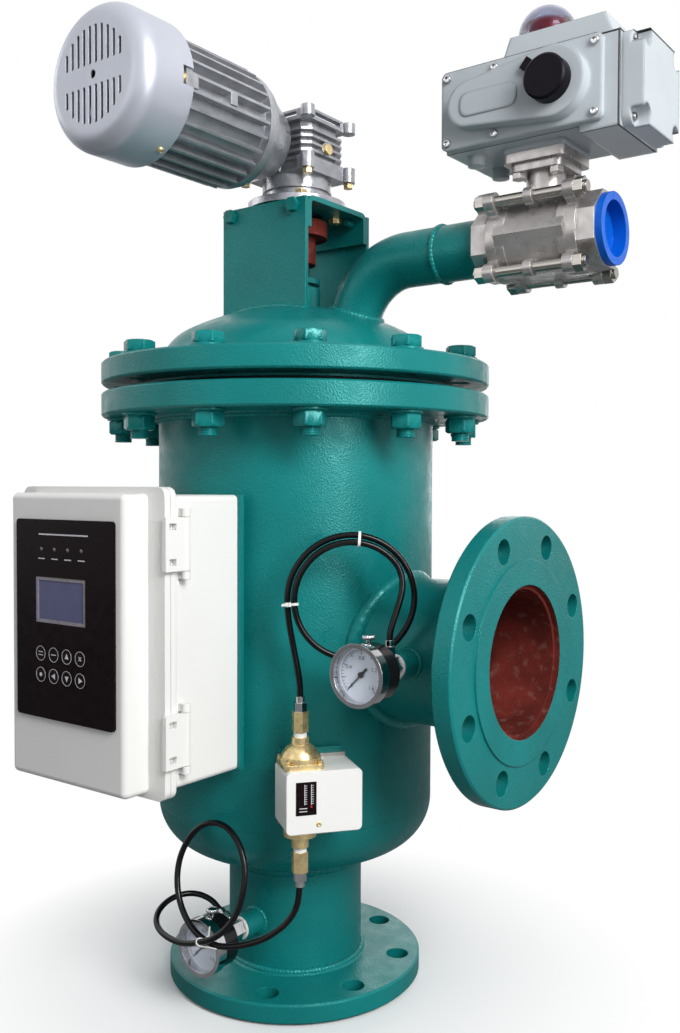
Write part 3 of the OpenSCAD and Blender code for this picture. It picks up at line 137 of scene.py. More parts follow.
def put(tree, kind, settings=None, **inputs):
    """Adds a node; inputs named in0, in1 go by place, others by name, and take a value or a socket."""
    made = tree.nodes.new(kind)
    for key, value in (settings or {}).items():
        setattr(made, key, value)
    for key, value in inputs.items():
        place = int(key[2:]) if key[:2] == "in" and key[2:].isdigit() else key.replace("_", " ")
        if isinstance(value, bpy.types.NodeSocket):
            tree.links.new(value, made.inputs[place])
        else:
            made.inputs[place].default_value = value
    return made


def rgba(colour, gain=1.0):
    return (colour[0] * gain, colour[1] * gain, colour[2] * gain, 1.0)


def start_finish(**sockets):
    """A new material with its tree, its shader and its object coordinates."""
    material = bpy.data.materials.new("finish")
    material.use_nodes = True
    tree = material.node_tree
    shader = tree.nodes["Principled BSDF"]
    for key, value in sockets.items():
        shader.inputs[key.replace("_", " ")].default_value = value
    where = put(tree, "ShaderNodeTexCoord").outputs["Object"]
    return material, tree, shader, where


def speckle(tree, where, scale, detail=3.0, stretch=(1, 1, 1)):
    """Noise from 0 to 1 over the object's own coordinates."""
    if stretch != (1, 1, 1):
        where = put(tree, "ShaderNodeMapping", Vector=where, Scale=stretch).outputs[0]
    return put(tree, "ShaderNodeTexNoise", Vector=where, Scale=scale, Detail=detail).outputs["Fac"]


def two_tone(tree, factor, low, high, start=0.3, end=0.7):
    ramp = put(tree, "ShaderNodeValToRGB", Fac=factor)
    ramp.color_ramp.elements[0].position, ramp.color_ramp.elements[0].color = start, low
    ramp.color_ramp.elements[1].position, ramp.color_ramp.elements[1].color = end, high
    return ramp.outputs["Color"]


def between(tree, factor, low, high, start=0.3, end=0.7):
    return put(tree, "ShaderNodeMapRange", Value=factor, From_Min=start, From_Max=end,
               To_Min=low, To_Max=high).outputs["Result"]


def maths(tree, operation, *values):
    return put(tree, "ShaderNodeMath", {"operation": operation},
               **{f"in{i}": v for i, v in enumerate(values)}).outputs[0]


def mix_colours(tree, factor, low, high):
    return put(tree, "ShaderNodeMix", {"data_type": "RGBA"}, in0=factor, in6=low, in7=high).outputs[2]


def dent(tree, shader, height, strength, depth):
    """Adds a bump over the bumps the shader has already."""
    bump = put(tree, "ShaderNodeBump", Height=height, Strength=strength, Distance=depth)
    if shader.inputs["Normal"].is_linked:
        tree.links.new(shader.inputs["Normal"].links[0].from_socket, bump.inputs["Normal"])
    tree.links.new(bump.outputs[0], shader.inputs["Normal"])


def tint(tree, shader, colour):
    tree.links.new(colour, shader.inputs["Base Color"])


def uneven_gloss(tree, shader, noise, low, high):
    tree.links.new(between(tree, noise, low, high), shader.inputs["Roughness"])


def soften(tree, shader, radius):
    """Rounds the look of sharp edges."""
    edge = put(tree, "ShaderNodeBevel", {"samples": 4}, Radius=radius)
    tree.links.new(edge.outputs[0], shader.inputs["Normal"])


def plain_finish(colour, rough, metallic=0.0, shade=0.86, patch=30, grain=900, grain_strength=0.12,
                 grain_depth=0.0002, rough_spread=0.08, stretch=(1, 1, 1), edge=0.0, **sockets):
    """One finish with slow patches of shade, uneven gloss and a fine grain."""
    material, tree, shader, where = start_finish(Metallic=metallic, **sockets)
    if edge:
        soften(tree, shader, edge)
    patches = speckle(tree, where, patch, 4.0, stretch)
    tint(tree, shader, two_tone(tree, patches, rgba(colour, shade), rgba(colour)))
    wear_marks = speckle(tree, where, patch * 3, 5.0, stretch)
    uneven_gloss(tree, shader, wear_marks, rough - rough_spread, rough + rough_spread)
    dent(tree, shader, speckle(tree, where, grain, 2.0, stretch), grain_strength, grain_depth)
    return material


def gloss_paint(colour, peel=0.36, rough=0.32):
    """Thick enamel: orange peel over a slow change of shade."""
    material, tree, shader, where = start_finish(
        Specular_IOR_Level=0.50, Specular_Tint=(0.40, 1.0, 0.95, 1.0))
    soften(tree, shader, 1.6 * MM)
    slow = speckle(tree, where, 9, 5.0)
    tint(tree, shader, two_tone(tree, slow, rgba(colour, 0.78), rgba(colour, 1.06)))
    uneven_gloss(tree, shader, speckle(tree, where, 60, 4.0), rough - 0.06, rough + 0.12)
    cells = put(tree, "ShaderNodeTexVoronoi", {"feature": "SMOOTH_F1"}, Vector=where, Scale=560.0,
                Smoothness=0.9).outputs["Distance"]
    dent(tree, shader, cells, peel, 0.0008)
    dent(tree, shader, speckle(tree, where, 45, 3.0), 0.12, 0.0012)
    return material


def rusty_primer(colour):
    """Matt primer with scale, stains and pale dust."""
    material, tree, shader, where = start_finish(Specular_IOR_Level=0.15)
    stains = two_tone(tree, speckle(tree, where, 26, 8.0), rgba(colour, 0.55), rgba(colour, 1.15), 0.35, 0.68)
    dust = between(tree, speckle(tree, where, 90, 6.0), 0.0, 0.24, 0.55, 0.8)
    tint(tree, shader, mix_colours(tree, dust, stains, (0.42, 0.30, 0.25, 1)))
    uneven_gloss(tree, shader, speckle(tree, where, 140, 4.0), 0.62, 0.92)
    dent(tree, shader, speckle(tree, where, 420, 6.0), 0.45, 0.0008)
    return material


def seamed_coat(colour, seams):
    """Powder coat with a dark joint line at each seam plane: (axis, place in metres)."""
    material, tree, shader, where = start_finish(Specular_IOR_Level=0.25)
    soften(tree, shader, 4.5 * MM)
    split = put(tree, "ShaderNodeSeparateXYZ", Vector=where)
    dark = None
    for axis, place in seams:
        off = maths(tree, "ABSOLUTE", maths(tree, "SUBTRACT", split.outputs["XYZ".index(axis)], place))
        near = maths(tree, "LESS_THAN", off, 0.0009)
        dark = near if dark is None else maths(tree, "MAXIMUM", dark, near)
    coat = two_tone(tree, speckle(tree, where, 18, 4.0), rgba(colour, 0.93), rgba(colour))
    tint(tree, shader, mix_colours(tree, dark, coat, (0.02, 0.021, 0.022, 1)))
    uneven_gloss(tree, shader, speckle(tree, where, 80, 3.0), 0.30, 0.42)
    dent(tree, shader, speckle(tree, where, 1500, 2.0), 0.10, 0.0002)
    return material


def clear_glass(colour, alpha, rough=0.02):
    material, tree, shader, where = start_finish(
        Base_Color=rgba(colour), Transmission_Weight=1.0, IOR=1.3, Alpha=alpha)
    uneven_gloss(tree, shader, speckle(tree, where, 60, 4.0), rough, rough + 0.06)
    return material


def display_glass():
    """Unlit display glass: blue-grey with fine cell rows."""
    material, tree, shader, where = start_finish(Roughness=0.22, Specular_IOR_Level=0.18)
    rows = put(tree, "ShaderNodeTexWave", {"bands_direction": "Z"}, Vector=where, Scale=260.0).outputs["Fac"]
    cells = maths(tree, "MULTIPLY", rows, speckle(tree, where, 40, 3.0))
    tint(tree, shader, two_tone(tree, cells, (0.105, 0.105, 0.205, 1), (0.15, 0.15, 0.27, 1), 0.1, 0.6))
    return material


def brushed(colour, rough, stretch, **sockets):
    """Machined or brushed metal, with lines across the stretched axis."""
    return plain_finish(colour, rough, 1.0, shade=0.80, patch=55, grain=700, grain_strength=0.22,
                        grain_depth=0.00015, rough_spread=0.09, stretch=stretch, **sockets)


FINISH = {}


def make_finishes(colours):
    """Every finish, by its name on the object."""
    paint, white, coat = tuple(colours.paint), tuple(colours.shell_white), tuple(colours.actuator)
    act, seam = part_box("actuator_case"), 1.1 * MM
    FINISH.update(
        vessel_paint=gloss_paint(paint),
        bead_paint=gloss_paint(tuple(c * 1.08 for c in paint), 0.2, 0.26),
        oxide_primer=rusty_primer(tuple(colours.oxide)),
        shaft_steel=brushed((0.34, 0.33, 0.31), 0.36, (1, 1, 0.05)),
        valve_steel=plain_finish((0.50, 0.475, 0.465), 0.32, 0.74, shade=0.72, patch=34, grain=420,
                                 grain_strength=0.10, grain_depth=0.0003, rough_spread=0.10, edge=1.0 * MM),
        rod_steel=brushed((0.42, 0.40, 0.37), 0.25, (0.05, 1, 1), edge=0.8 * MM),
        cast_alloy=plain_finish((0.46, 0.47, 0.50), 0.34, 0.74, shade=0.66, patch=50, grain=620,
                                grain_strength=0.18, grain_depth=0.0004, rough_spread=0.10, edge=1.0 * MM),
        fin_alloy=plain_finish((0.48, 0.49, 0.52), 0.38, 0.66, shade=0.72, patch=60, grain=620,
                               grain_strength=0.18, grain_depth=0.0003, rough_spread=0.10, edge=0.8 * MM),
        cowl_silver=plain_finish((0.54, 0.56, 0.63), 0.40, 0.42, shade=0.90, patch=14, grain=1400,
                                 grain_strength=0.10, rough_spread=0.05, edge=1.0 * MM,
                                 Specular_IOR_Level=0.3),
        brass=plain_finish((0.84, 0.65, 0.33), 0.32, 0.84, shade=0.72, patch=90, rough_spread=0.10,
                           edge=0.7 * MM),
        chrome=plain_finish((0.60, 0.60, 0.62), 0.10, 1.0, shade=0.75, patch=60, grain_strength=0.05,
                            rough_spread=0.05, edge=0.7 * MM),
        thread_tape=plain_finish((0.84, 0.84, 0.82), 0.55, shade=0.86, patch=200, grain=700,
                                 grain_strength=0.5, grain_depth=0.0006),
        white_nylon=plain_finish((0.82, 0.82, 0.80), 0.40, patch=120),
        ptfe=plain_finish((0.80, 0.79, 0.75), 0.45),
        cap_blue=plain_finish(tuple(colours.cap), 0.36, shade=0.80, patch=40, edge=0.8 * MM,
                              Specular_IOR_Level=0.2),
        actuator_coat=seamed_coat(coat, (
            ("Y", act[LOW].y + seam), ("X", act[HIGH].x - seam), ("Z", act[HIGH].z - seam))),
        smoked_dome=clear_glass((0.16, 0.18, 0.32), 0.62),
        gauge_glass=clear_glass((0.97, 0.98, 0.98), 0.14),
        flag_red=plain_finish((0.52, 0.012, 0.022), 0.32),
        flag_yellow=plain_finish((0.72, 0.48, 0.03), 0.35),
        black_nylon=plain_finish((0.006, 0.0045, 0.008), 0.36, patch=60, grain=1200, edge=1.2 * MM,
                                 Specular_IOR_Level=0.08),
        gauge_black=plain_finish((0.006, 0.006, 0.007), 0.18, patch=40, grain_strength=0.05, edge=0.7 * MM,
                                 Specular_IOR_Level=0.25),
        box_plastic=plain_finish(white, 0.36, shade=0.965, patch=7, grain=1800, grain_strength=0.10,
                                 grain_depth=0.00015, edge=1.2 * MM, Specular_IOR_Level=0.2),
        panel_foil=plain_finish((0.0085, 0.0042, 0.0050), 0.30, shade=0.8, patch=30, grain=2200,
                                grain_strength=0.10, grain_depth=0.0001, Specular_IOR_Level=0.07),
        key_foil=plain_finish((0.010, 0.0052, 0.006), 0.34, grain=2200, grain_depth=0.0001,
                              Specular_IOR_Level=0.07),
        display=display_glass(),
        display_frame=plain_finish((0.30, 0.28, 0.30), 0.30, shade=0.7, patch=120),
        print_white=plain_finish((0.70, 0.69, 0.72), 0.5, patch=300),
        print_black=plain_finish((0.02, 0.02, 0.026), 0.5, patch=300),
        print_red=plain_finish((0.50, 0.02, 0.02), 0.5, patch=300),
        lamp_lens=plain_finish((0.12, 0.10, 0.095), 0.2, patch=300),
        dial_white=plain_finish((0.68, 0.74, 0.84), 0.42, shade=0.95, patch=60),
        hose_black=plain_finish((0.004, 0.004, 0.005), 0.16, patch=70, grain=500, grain_strength=0.1,
                                Specular_IOR_Level=0.22),
        gasket=plain_finish((0.010, 0.010, 0.011), 0.7, grain=500, grain_strength=0.4,
                            Specular_IOR_Level=0.2),
        screen_mesh=brushed((0.40, 0.39, 0.37), 0.4, (1, 1, 0.1)),
    )
    for name, material in FINISH.items():
        material.name = name


# Mesh helpers


def new_object(name, data):
    """An object with this data, linked into the scene."""
    obj = bpy.data.objects.new(name, data)
    bpy.context.scene.collection.objects.link(obj)
    return obj


def baked_mesh(obj):
    """The mesh that an object shows once its modifiers are done."""
    bpy.context.view_layer.update()
    return bpy.data.meshes.new_from_object(obj.evaluated_get(bpy.context.evaluated_depsgraph_get()))


def add_piece(name, mesh, body):
    """A mesh as a piece that rides on a body."""
    obj = new_object(name, mesh)
    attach(obj, body)
    return obj


def mesh_of(name, bm, smooth=False):
    bmesh.ops.remove_doubles(bm, verts=bm.verts, dist=1e-7)
    bmesh.ops.recalc_face_normals(bm, faces=bm.faces)
    mesh = bpy.data.meshes.new(name)
    bm.to_mesh(mesh)
    bm.free()
    if smooth:
        mesh.shade_smooth()
        mesh.set_sharp_from_angle(angle=math.radians(38))
    return mesh


def shape_piece(name, bm, body, finish, smooth=False):
    """A built shape as a piece in one finish."""
    mesh = mesh_of(name, bm, smooth)
    mesh.materials.clear()
    mesh.materials.append(FINISH[finish])
    return add_piece(name, mesh, body)


def full_turn(count):
    """Even angles of one whole turn."""
    return [2 * math.pi * i / count for i in range(count)]


def polar(r, a):
    return r * math.cos(a), r * math.sin(a)


def stack(bm, rings, sides=24, place=None, closed=False):
    """Joins rings (radius, height) into a turned solid. A radius may be a function of the angle."""
    place = place or Matrix.Identity(4)
    loops = []
    for radius, height in rings:
        loop = []
        for a in full_turn(sides):
            r = radius(a) if callable(radius) else radius
            loop.append(bm.verts.new(place @ Vector((*polar(r, a), height))))
        loops.append(loop)
    join_loops(bm, loops + (loops[:1] if closed else []))
    if not closed:
        bm.faces.new(loops[0][::-1])
        bm.faces.new(loops[-1])


def join_loops(bm, loops):
    """Faces between each loop of corners and the next."""
    for low, high in zip(loops, loops[1:]):
        for i in range(len(low)):
            j = (i + 1) % len(low)
            bm.faces.new((low[i], low[j], high[j], high[i]))


def hexagon(flat):
    """Radius of a hexagon of that width across the flats, at an angle."""
    def radius(a):
        return flat / 2 / math.cos((a + math.pi / 6) % (math.pi / 3) - math.pi / 6)
    return radius


def hex_rings(flat, low, high, chamfer=0.12):
    """Rings of a hexagon block with both faces turned off."""
    turned, step = flat / 2 * 0.97, (high - low) * chamfer
    return [(turned, low), (hexagon(flat), low + step), (hexagon(flat), high - step), (turned, high)]


def block(bm, centre, size, turn=None):
    """A box by its centre and size."""
    turn = turn or Matrix.Identity(4)
    place = Matrix.Translation(centre) @ turn @ Matrix.Diagonal((*size, 1.0))
    bmesh.ops.create_cube(bm, size=1.0, matrix=place)


def slab(bm, outline, place, thick):
    """A flat outline (x, y) raised by a thickness, set by a placing matrix."""
    low = [bm.verts.new(place @ Vector((x, y, 0))) for x, y in outline]
    high = [bm.verts.new(place @ Vector((x, y, thick))) for x, y in outline]
    bm.faces.new(low[::-1])
    bm.faces.new(high)
    join_loops(bm, [low, high])


def bar(x, y, width, height, turn=0.0):
    c, s, w, h = math.cos(turn), math.sin(turn), width / 2, height / 2
    return [(x + c * u - s * v, y + s * u + c * v) for u, v in ((-w, -h), (w, -h), (w, h), (-w, h))]


def rounded(width, height, radius, steps=5):
    points = []
    for cx, cy, start in ((1, 1, 0), (-1, 1, 90), (-1, -1, 180), (1, -1, 270)):
        for i in range(steps + 1):
            a = math.radians(start + 90 * i / steps)
            points.append((cx * (width / 2 - radius) + radius * math.cos(a),
                           cy * (height / 2 - radius) + radius * math.sin(a)))
    return points


def facing(origin, out, up=(0, 0, 1)):
    """A place whose z looks out and whose y looks up."""
    z = Vector(out).normalized()
    x = Vector(up).cross(z).normalized()
    y = z.cross(x)
    return Matrix.Translation(origin) @ Matrix((x, y, z)).transposed().to_4x4()


FRONT = (0, -1, 0)


def lettering(bm, text, size, place, thick):
    """Raised figures, centred on the place."""
    curve = bpy.data.curves.new("figures", "FONT")
    curve.body, curve.size = text, size
    curve.align_x, curve.align_y = "CENTER", "CENTER"
    curve.extrude, curve.resolution_u = thick / 2, 2
    obj = new_object("figures", curve)
    mesh = baked_mesh(obj)
    mesh.transform(place @ Matrix.Translation((0, 0, thick / 2)))
    bm.from_mesh(mesh)
    bpy.data.meshes.remove(mesh)
    bpy.data.objects.remove(obj)
    bpy.data.curves.remove(curve)


def wear(finish, *nodes):
    """Gives whole CAD nodes one finish."""
    for name in nodes:
        mesh = NODES[name].data
        mesh.materials.clear()
        mesh.materials.append(FINISH[finish])
        mesh.polygons.foreach_set("material_index", [0] * len(mesh.polygons))


def wear_by_face(node, base, *rules):
    """Gives a CAD node one finish, but another where a rule (finish, test of centre and normal) picks."""
    mesh = NODES[node].data
    mesh.materials.clear()
    for finish in (base, *(rule[0] for rule in rules)):
        mesh.materials.append(FINISH[finish])
    for face in mesh.polygons:
        picked = [i for i, rule in enumerate(rules) if rule[1](face.center, face.normal)]
        face.material_index = picked[0] + 1 if picked else 0


def off_axis(p):
    return math.hypot(p.x, p.y)


# Geometry node layouts


def new_layout(name, *inputs):
    """A geometry tree with named inputs: (name, socket type)."""
    tree = bpy.data.node_groups.new(name, "GeometryNodeTree")
    tree.interface.new_socket("Geometry", in_out="INPUT", socket_type="NodeSocketGeometry")
    for label, kind in inputs:
        tree.interface.new_socket(label, in_out="INPUT", socket_type=kind)
    tree.interface.new_socket("Geometry", in_out="OUTPUT", socket_type="NodeSocketGeometry")
    return tree, put(tree, "NodeGroupInput").outputs


def end_layout(tree, geometry, finish):
    real = put(tree, "GeometryNodeRealizeInstances", Geometry=geometry).outputs[0]
    dressed = put(tree, "GeometryNodeSetMaterial", Geometry=real, Material=finish).outputs[0]
    put(tree, "NodeGroupOutput", Geometry=dressed)


def ring_layout():
    """One fastener at each place of a bolt circle, each turned a little differently."""
    tree, given = new_layout(
        "fastener_ring", ("Count", "NodeSocketInt"), ("Circle radius", "NodeSocketFloat"),
        ("Start angle", "NodeSocketFloat"), ("Height", "NodeSocketFloat"), ("Fastener", "NodeSocketObject"),
        ("Finish", "NodeSocketMaterial"))
    circle = put(tree, "GeometryNodeMeshCircle", Vertices=given["Count"],
                 Radius=given["Circle radius"]).outputs[0]
    turn = put(tree, "ShaderNodeCombineXYZ", Z=given["Start angle"]).outputs[0]
    lift = put(tree, "ShaderNodeCombineXYZ", Z=given["Height"]).outputs[0]
    placed = put(tree, "GeometryNodeTransform", Geometry=circle, Rotation=turn, Translation=lift).outputs[0]
    spin = put(tree, "FunctionNodeRandomValue", {"data_type": "FLOAT"}, in3=math.pi / 3, Seed=7).outputs[1]
    shape = put(tree, "GeometryNodeObjectInfo", Object=given["Fastener"]).outputs["Geometry"]
    made = put(tree, "GeometryNodeInstanceOnPoints", Points=placed, Instance=shape,
               Rotation=put(tree, "ShaderNodeCombineXYZ", Z=spin).outputs[0]).outputs[0]
    end_layout(tree, made, given["Finish"])
    return tree


def screw_layout():
    """One screw on each given point, all facing one way."""
    tree, given = new_layout("screw_places", ("Turn", "NodeSocketVector"), ("Screw", "NodeSocketObject"),
                             ("Finish", "NodeSocketMaterial"))
    shape = put(tree, "GeometryNodeObjectInfo", Object=given["Screw"]).outputs["Geometry"]
    made = put(tree, "GeometryNodeInstanceOnPoints", Points=given["Geometry"], Instance=shape,
               Rotation=given["Turn"]).outputs[0]
    end_layout(tree, made, given["Finish"])
    return tree


def bead_layout():
    """A rippled weld bead along each given line."""
    tree, given = new_layout("weld_bead", ("Bead radius", "NodeSocketFloat"), ("Ripple", "NodeSocketFloat"),
                             ("Unevenness", "NodeSocketFloat"), ("Finish", "NodeSocketMaterial"))
    line = put(tree, "GeometryNodeMeshToCurve", Mesh=given["Geometry"]).outputs[0]
    step = maths(tree, "DIVIDE", given["Ripple"], 4.0)
    line = put(tree, "GeometryNodeResampleCurve", {"mode": "LENGTH"}, Curve=line, Length=step).outputs[0]
    along = put(tree, "GeometryNodeSplineParameter").outputs["Length"]
    phase = maths(tree, "DIVIDE", maths(tree, "MULTIPLY", along, 2 * math.pi), given["Ripple"])
    wobble = put(tree, "ShaderNodeTexNoise", Scale=70.0, Detail=2.0).outputs["Fac"]
    swell = maths(tree, "ADD", maths(tree, "MULTIPLY", maths(tree, "SINE", phase), 0.14),
                  maths(tree, "SUBTRACT", wobble, 0.5))
    scale = maths(tree, "ADD", 1.0, maths(tree, "MULTIPLY", swell, given["Unevenness"]))
    ring = put(tree, "GeometryNodeCurvePrimitiveCircle", Resolution=10,
               Radius=given["Bead radius"]).outputs[0]
    body = put(tree, "GeometryNodeCurveToMesh", Curve=line, Profile_Curve=ring, Scale=scale,
               Fill_Caps=True).outputs[0]
    end_layout(tree, put(tree, "GeometryNodeSetShadeSmooth", Geometry=body).outputs[0], given["Finish"])
    return tree


def lay_out(name, seed, tree, values, body):
    """Runs a layout over a seed mesh and keeps its result as a plain piece."""
    obj = new_object(name + "_seed", seed)
    layout = obj.modifiers.new("Layout", "NODES")
    layout.node_group = tree
    sockets = {s.name: s.identifier for s in tree.interface.items_tree if s.in_out == "INPUT"}
    for label, value in values.items():
        layout[sockets[label]] = value
    mesh = baked_mesh(obj)
    bpy.data.objects.remove(obj)
    mesh.name = name
    return add_piece(name, mesh, body)


def wire_mesh(name, points, edges=()):
    mesh = bpy.data.meshes.new(name)
    mesh.from_pydata([tuple(p) for p in points], edges, [])
    return mesh


def lines_mesh(name, lines):
    """Several lines of points, each open or closed, as one wire mesh."""
    points, edges = [], []
    for line, closed in lines:
        first = len(points)
        points += line
        edges += [(first + i, first + i + 1) for i in range(len(line) - 1)]
        if closed:
            edges.append((first + len(line) - 1, first))
    return wire_mesh(name, points, edges)


# Shapes of the vessel, for the beads that follow them

HEAD_KNUCKLE = 56 * MM
HEAD_CROWN = 292 * MM
HEAD_FLAT = SHELL_R - HEAD_KNUCKLE
HEAD_DROP = math.sqrt((HEAD_CROWN - HEAD_KNUCKLE) ** 2 - HEAD_FLAT ** 2)
COVER_TANGENT_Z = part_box("cover_flange")[LOW].z + 17 * MM
DRAIN_X = 84 * MM
DRAIN_R = 30 * MM
DRAIN_BEND = 76 * MM
DRAIN_WELD_X = 205 * MM
HUB_H = 6 * MM


def head_rise(r):
    """Height of a dished head's face over its tangent line."""
    return math.sqrt(HEAD_CROWN ** 2 - r ** 2) - HEAD_DROP


def circle_line(radius, height, count=120):
    return [Vector((*polar(radius, a), height)) for a in full_turn(count)]


def upright_line(radius, x, z, count=120):
    """A circle that faces along X, with its centre over the X axis."""
    return [Vector((x, p.x, z + p.y)) for p in circle_line(radius, 0, count)]


def saddle_line(count=120):
    """Where the outlet pipe meets the shell."""
    rim = [polar(PIPE_R, a) for a in full_turn(count)]
    return [Vector((math.sqrt(SHELL_R ** 2 - y ** 2), y, OUTLET_Z + z)) for y, z in rim]


def drain_foot_line(count=80, tries=300):
    """Where the drain elbow meets the cover head, found by following each side line of the elbow."""
    def miss(p):
        return abs(p.z - COVER_TANGENT_Z - head_rise(off_axis(p)))

    centre_z = DRAIN_Z - DRAIN_BEND
    sweep = [math.radians(60 * k / (tries - 1)) for k in range(tries)]
    line = []
    for a in full_turn(count):
        reach, y = DRAIN_BEND + DRAIN_R * math.cos(a), DRAIN_R * math.sin(a)
        side = [Vector((DRAIN_X + DRAIN_BEND - reach * math.cos(t), y, centre_z + reach * math.sin(t)))
                for t in sweep]
        line.append(min(side, key=miss))
    return line


def stub_line(gauge, count=40):
    """Where a gauge stub meets its pipe."""
    spot, line = GAUGES[gauge], []
    for a in full_turn(count):
        u, v = polar(STUB_R, a)
        across = v if gauge == "outlet" else spot.x + u
        z = OUTLET_Z if gauge == "outlet" else spot.z
        line.append(Vector((spot.x + u, -math.sqrt(PIPE_R ** 2 - across ** 2), z + v)))
    return line


def plate_foot_line(y, half, count=30):
    """Where one face of a stand plate meets the cover head."""
    xs = [half * (2 * i / (count - 1) - 1) for i in range(count)]
    return [Vector((x, y, COVER_TANGENT_Z + head_rise(math.hypot(x, y)))) for x in xs]


# Operators: one for each piece or group of like pieces


def colours():
    return bpy.context.scene.filter_colours


def sizes():
    return bpy.context.scene.filter_sizes


class FILTER_OT_vessel(bpy.types.Operator):
    """Paint the vessel, its flanges and bores, and the cleaner inside"""

    bl_idname = "filter.vessel"
    bl_label = "Vessel"

    def execute(self, context):
        bore = PIPE_R + 1 * MM
        wear("vessel_paint", "weld_brackets", "drive_base", "seal_housing", "drain_elbow", "cover_flange")

        def off_outlet(c):
            return math.hypot(c.y, c.z - OUTLET_Z)

        def in_pipe(c, n):
            inlet = off_axis(c) < PIPE_R - 0.5 * MM and c.z < INLET_PIPE_TOP_Z
            outlet = off_outlet(c) < PIPE_R - 0.5 * MM and c.x > OUTLET_PIPE_FOOT_X
            return inlet or outlet

        primed = {
            "shell": lambda c, n: off_axis(c) < SHELL_R - 1 * MM,
            "body_flange": lambda c, n: off_axis(c) < SHELL_R - 6 * MM and abs(n.z) < 0.5,
            "bottom_head": lambda c, n: n.z > 0.02,
            "cover_head": lambda c, n: n.z < -0.02 and off_axis(c) < SHELL_R - 4 * MM,
            "inlet_flange": lambda c, n: off_axis(c) < bore,
            "outlet_flange": lambda c, n: off_outlet(c) < bore,
            "nozzle_pipes": in_pipe,
        }
        for node, inside in primed.items():
            wear_by_face(node, "vessel_paint", ("oxide_primer", inside))
        wear("gasket", "body_gasket")
        wear("screen_mesh", "screen", "screen_seats")
        wear("shaft_steel", "cleaner_shaft", "suction_arms")
        wear_by_face("shaft_coupling", "oxide_primer",
                     ("shaft_steel", lambda c, n: off_axis(c) < 12.7 * MM))
        return {"FINISHED"}


class FILTER_OT_welds(bpy.types.Operator):
    """Lay the weld beads along the joints of the vessel"""

    bl_idname = "filter.welds"
    bl_label = "Weld beads"

    def execute(self, context):
        bead = sizes().bead_r
        inlet_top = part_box("inlet_flange")[HIGH].z - HUB_H
        outlet_back = OUTLET_BACK_X + HUB_H
        lines = [
            (circle_line(PIPE_R + bead * 0.3, inlet_top + bead), True),
            (circle_line(SHELL_R + bead * 0.2, BODY_FLANGE_Z - bead), True),
            (circle_line(SHELL_R + bead * 0.4, COVER_TOP_Z + bead * 0.6), True),
            (drain_foot_line(), True),
            (upright_line(DRAIN_R - bead * 0.3, DRAIN_WELD_X, DRAIN_Z, 60), True),
            (upright_line(PIPE_R + bead * 0.3, outlet_back - bead, OUTLET_Z), True),
        ]
        for y in STAND_PLATE_Y:
            for side in (-1, 1):
                lines.append((plate_foot_line(side * y, STAND_HALF_W), False))
        tree = bead_layout()
        self.lay_beads("weld_beads", lines, tree, 1.0, 0.7)
        self.lay_beads("saddle_bead", [(saddle_line(), True)], tree, 2.9, 0.16)
        neck = circle_line(PIPE_R, SHELL_FOOT_Z - head_rise(PIPE_R))
        self.lay_beads("neck_bead", [(neck, True)], tree, 2.0, 0.3)
        self.lay_beads("stub_beads", [(stub_line(g), True) for g in GAUGES], tree, 0.9, 0.7)
        return {"FINISHED"}

    def lay_beads(self, name, lines, tree, thick, uneven):
        """Beads along some lines, so many times as thick as the plain bead, and so uneven."""
        lay_out(name, lines_mesh(name, lines), tree, {
            "Bead radius": sizes().bead_r * thick, "Ripple": sizes().bead_pitch * max(1.0, thick * 0.8),
            "Unevenness": uneven, "Finish": FINISH["bead_paint"]}, "vessel")


class FILTER_OT_cover_bolts(bpy.types.Operator):
    """Set the cover bolts, with washers, nuts and thread ends"""

    bl_idname = "filter.cover_bolts"
    bl_label = "Cover bolts"

    count: bpy.props.IntProperty(name="Bolts", description="Number of cover bolts", default=12, min=4)

    def execute(self, context):
        d = sizes().bolt_d
        low = BODY_FLANGE_Z - COVER_TOP_Z
        washer, flat = 3 * MM, 1.5 * d
        bm = bmesh.new()
        stack(bm, [(0.93 * d, 0.0), (0.93 * d, washer * 0.8), (0.89 * d, washer)], 32)
        stack(bm, hex_rings(flat, washer, washer + 0.63 * d), 36)
        stack(bm, [(0.89 * d, low - washer), (0.93 * d, low - washer * 0.8), (0.93 * d, low)], 32)
        stack(bm, hex_rings(flat, low - washer - 0.8 * d, low - washer), 36)
        end = low - washer - 1.25 * d
        turns = [(0.47 * d, end), (0.5 * d, end + 1.2 * MM)]
        for i in range(4):
            z = end + (1.2 + 2.0 * i) * MM
            turns += [(0.5 * d, z), (0.455 * d, z + 1.0 * MM), (0.5 * d, z + 2.0 * MM)]
        stack(bm, turns, 24)
        pattern = new_object("cover_bolt_pattern", mesh_of("cover_bolt_pattern", bm, smooth=True))
        obj = lay_out("cover_fasteners", wire_mesh("cover_seed", [(0, 0, 0)]), ring_layout(), {
            "Count": self.count, "Circle radius": BOLT_CIRCLE_R, "Start angle": BOLT_START,
            "Height": COVER_TOP_Z, "Fastener": pattern, "Finish": FINISH["bead_paint"]},
            "vessel")
        bpy.data.objects.remove(pattern)
        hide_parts("cover_bolts")
        return {"FINISHED"}


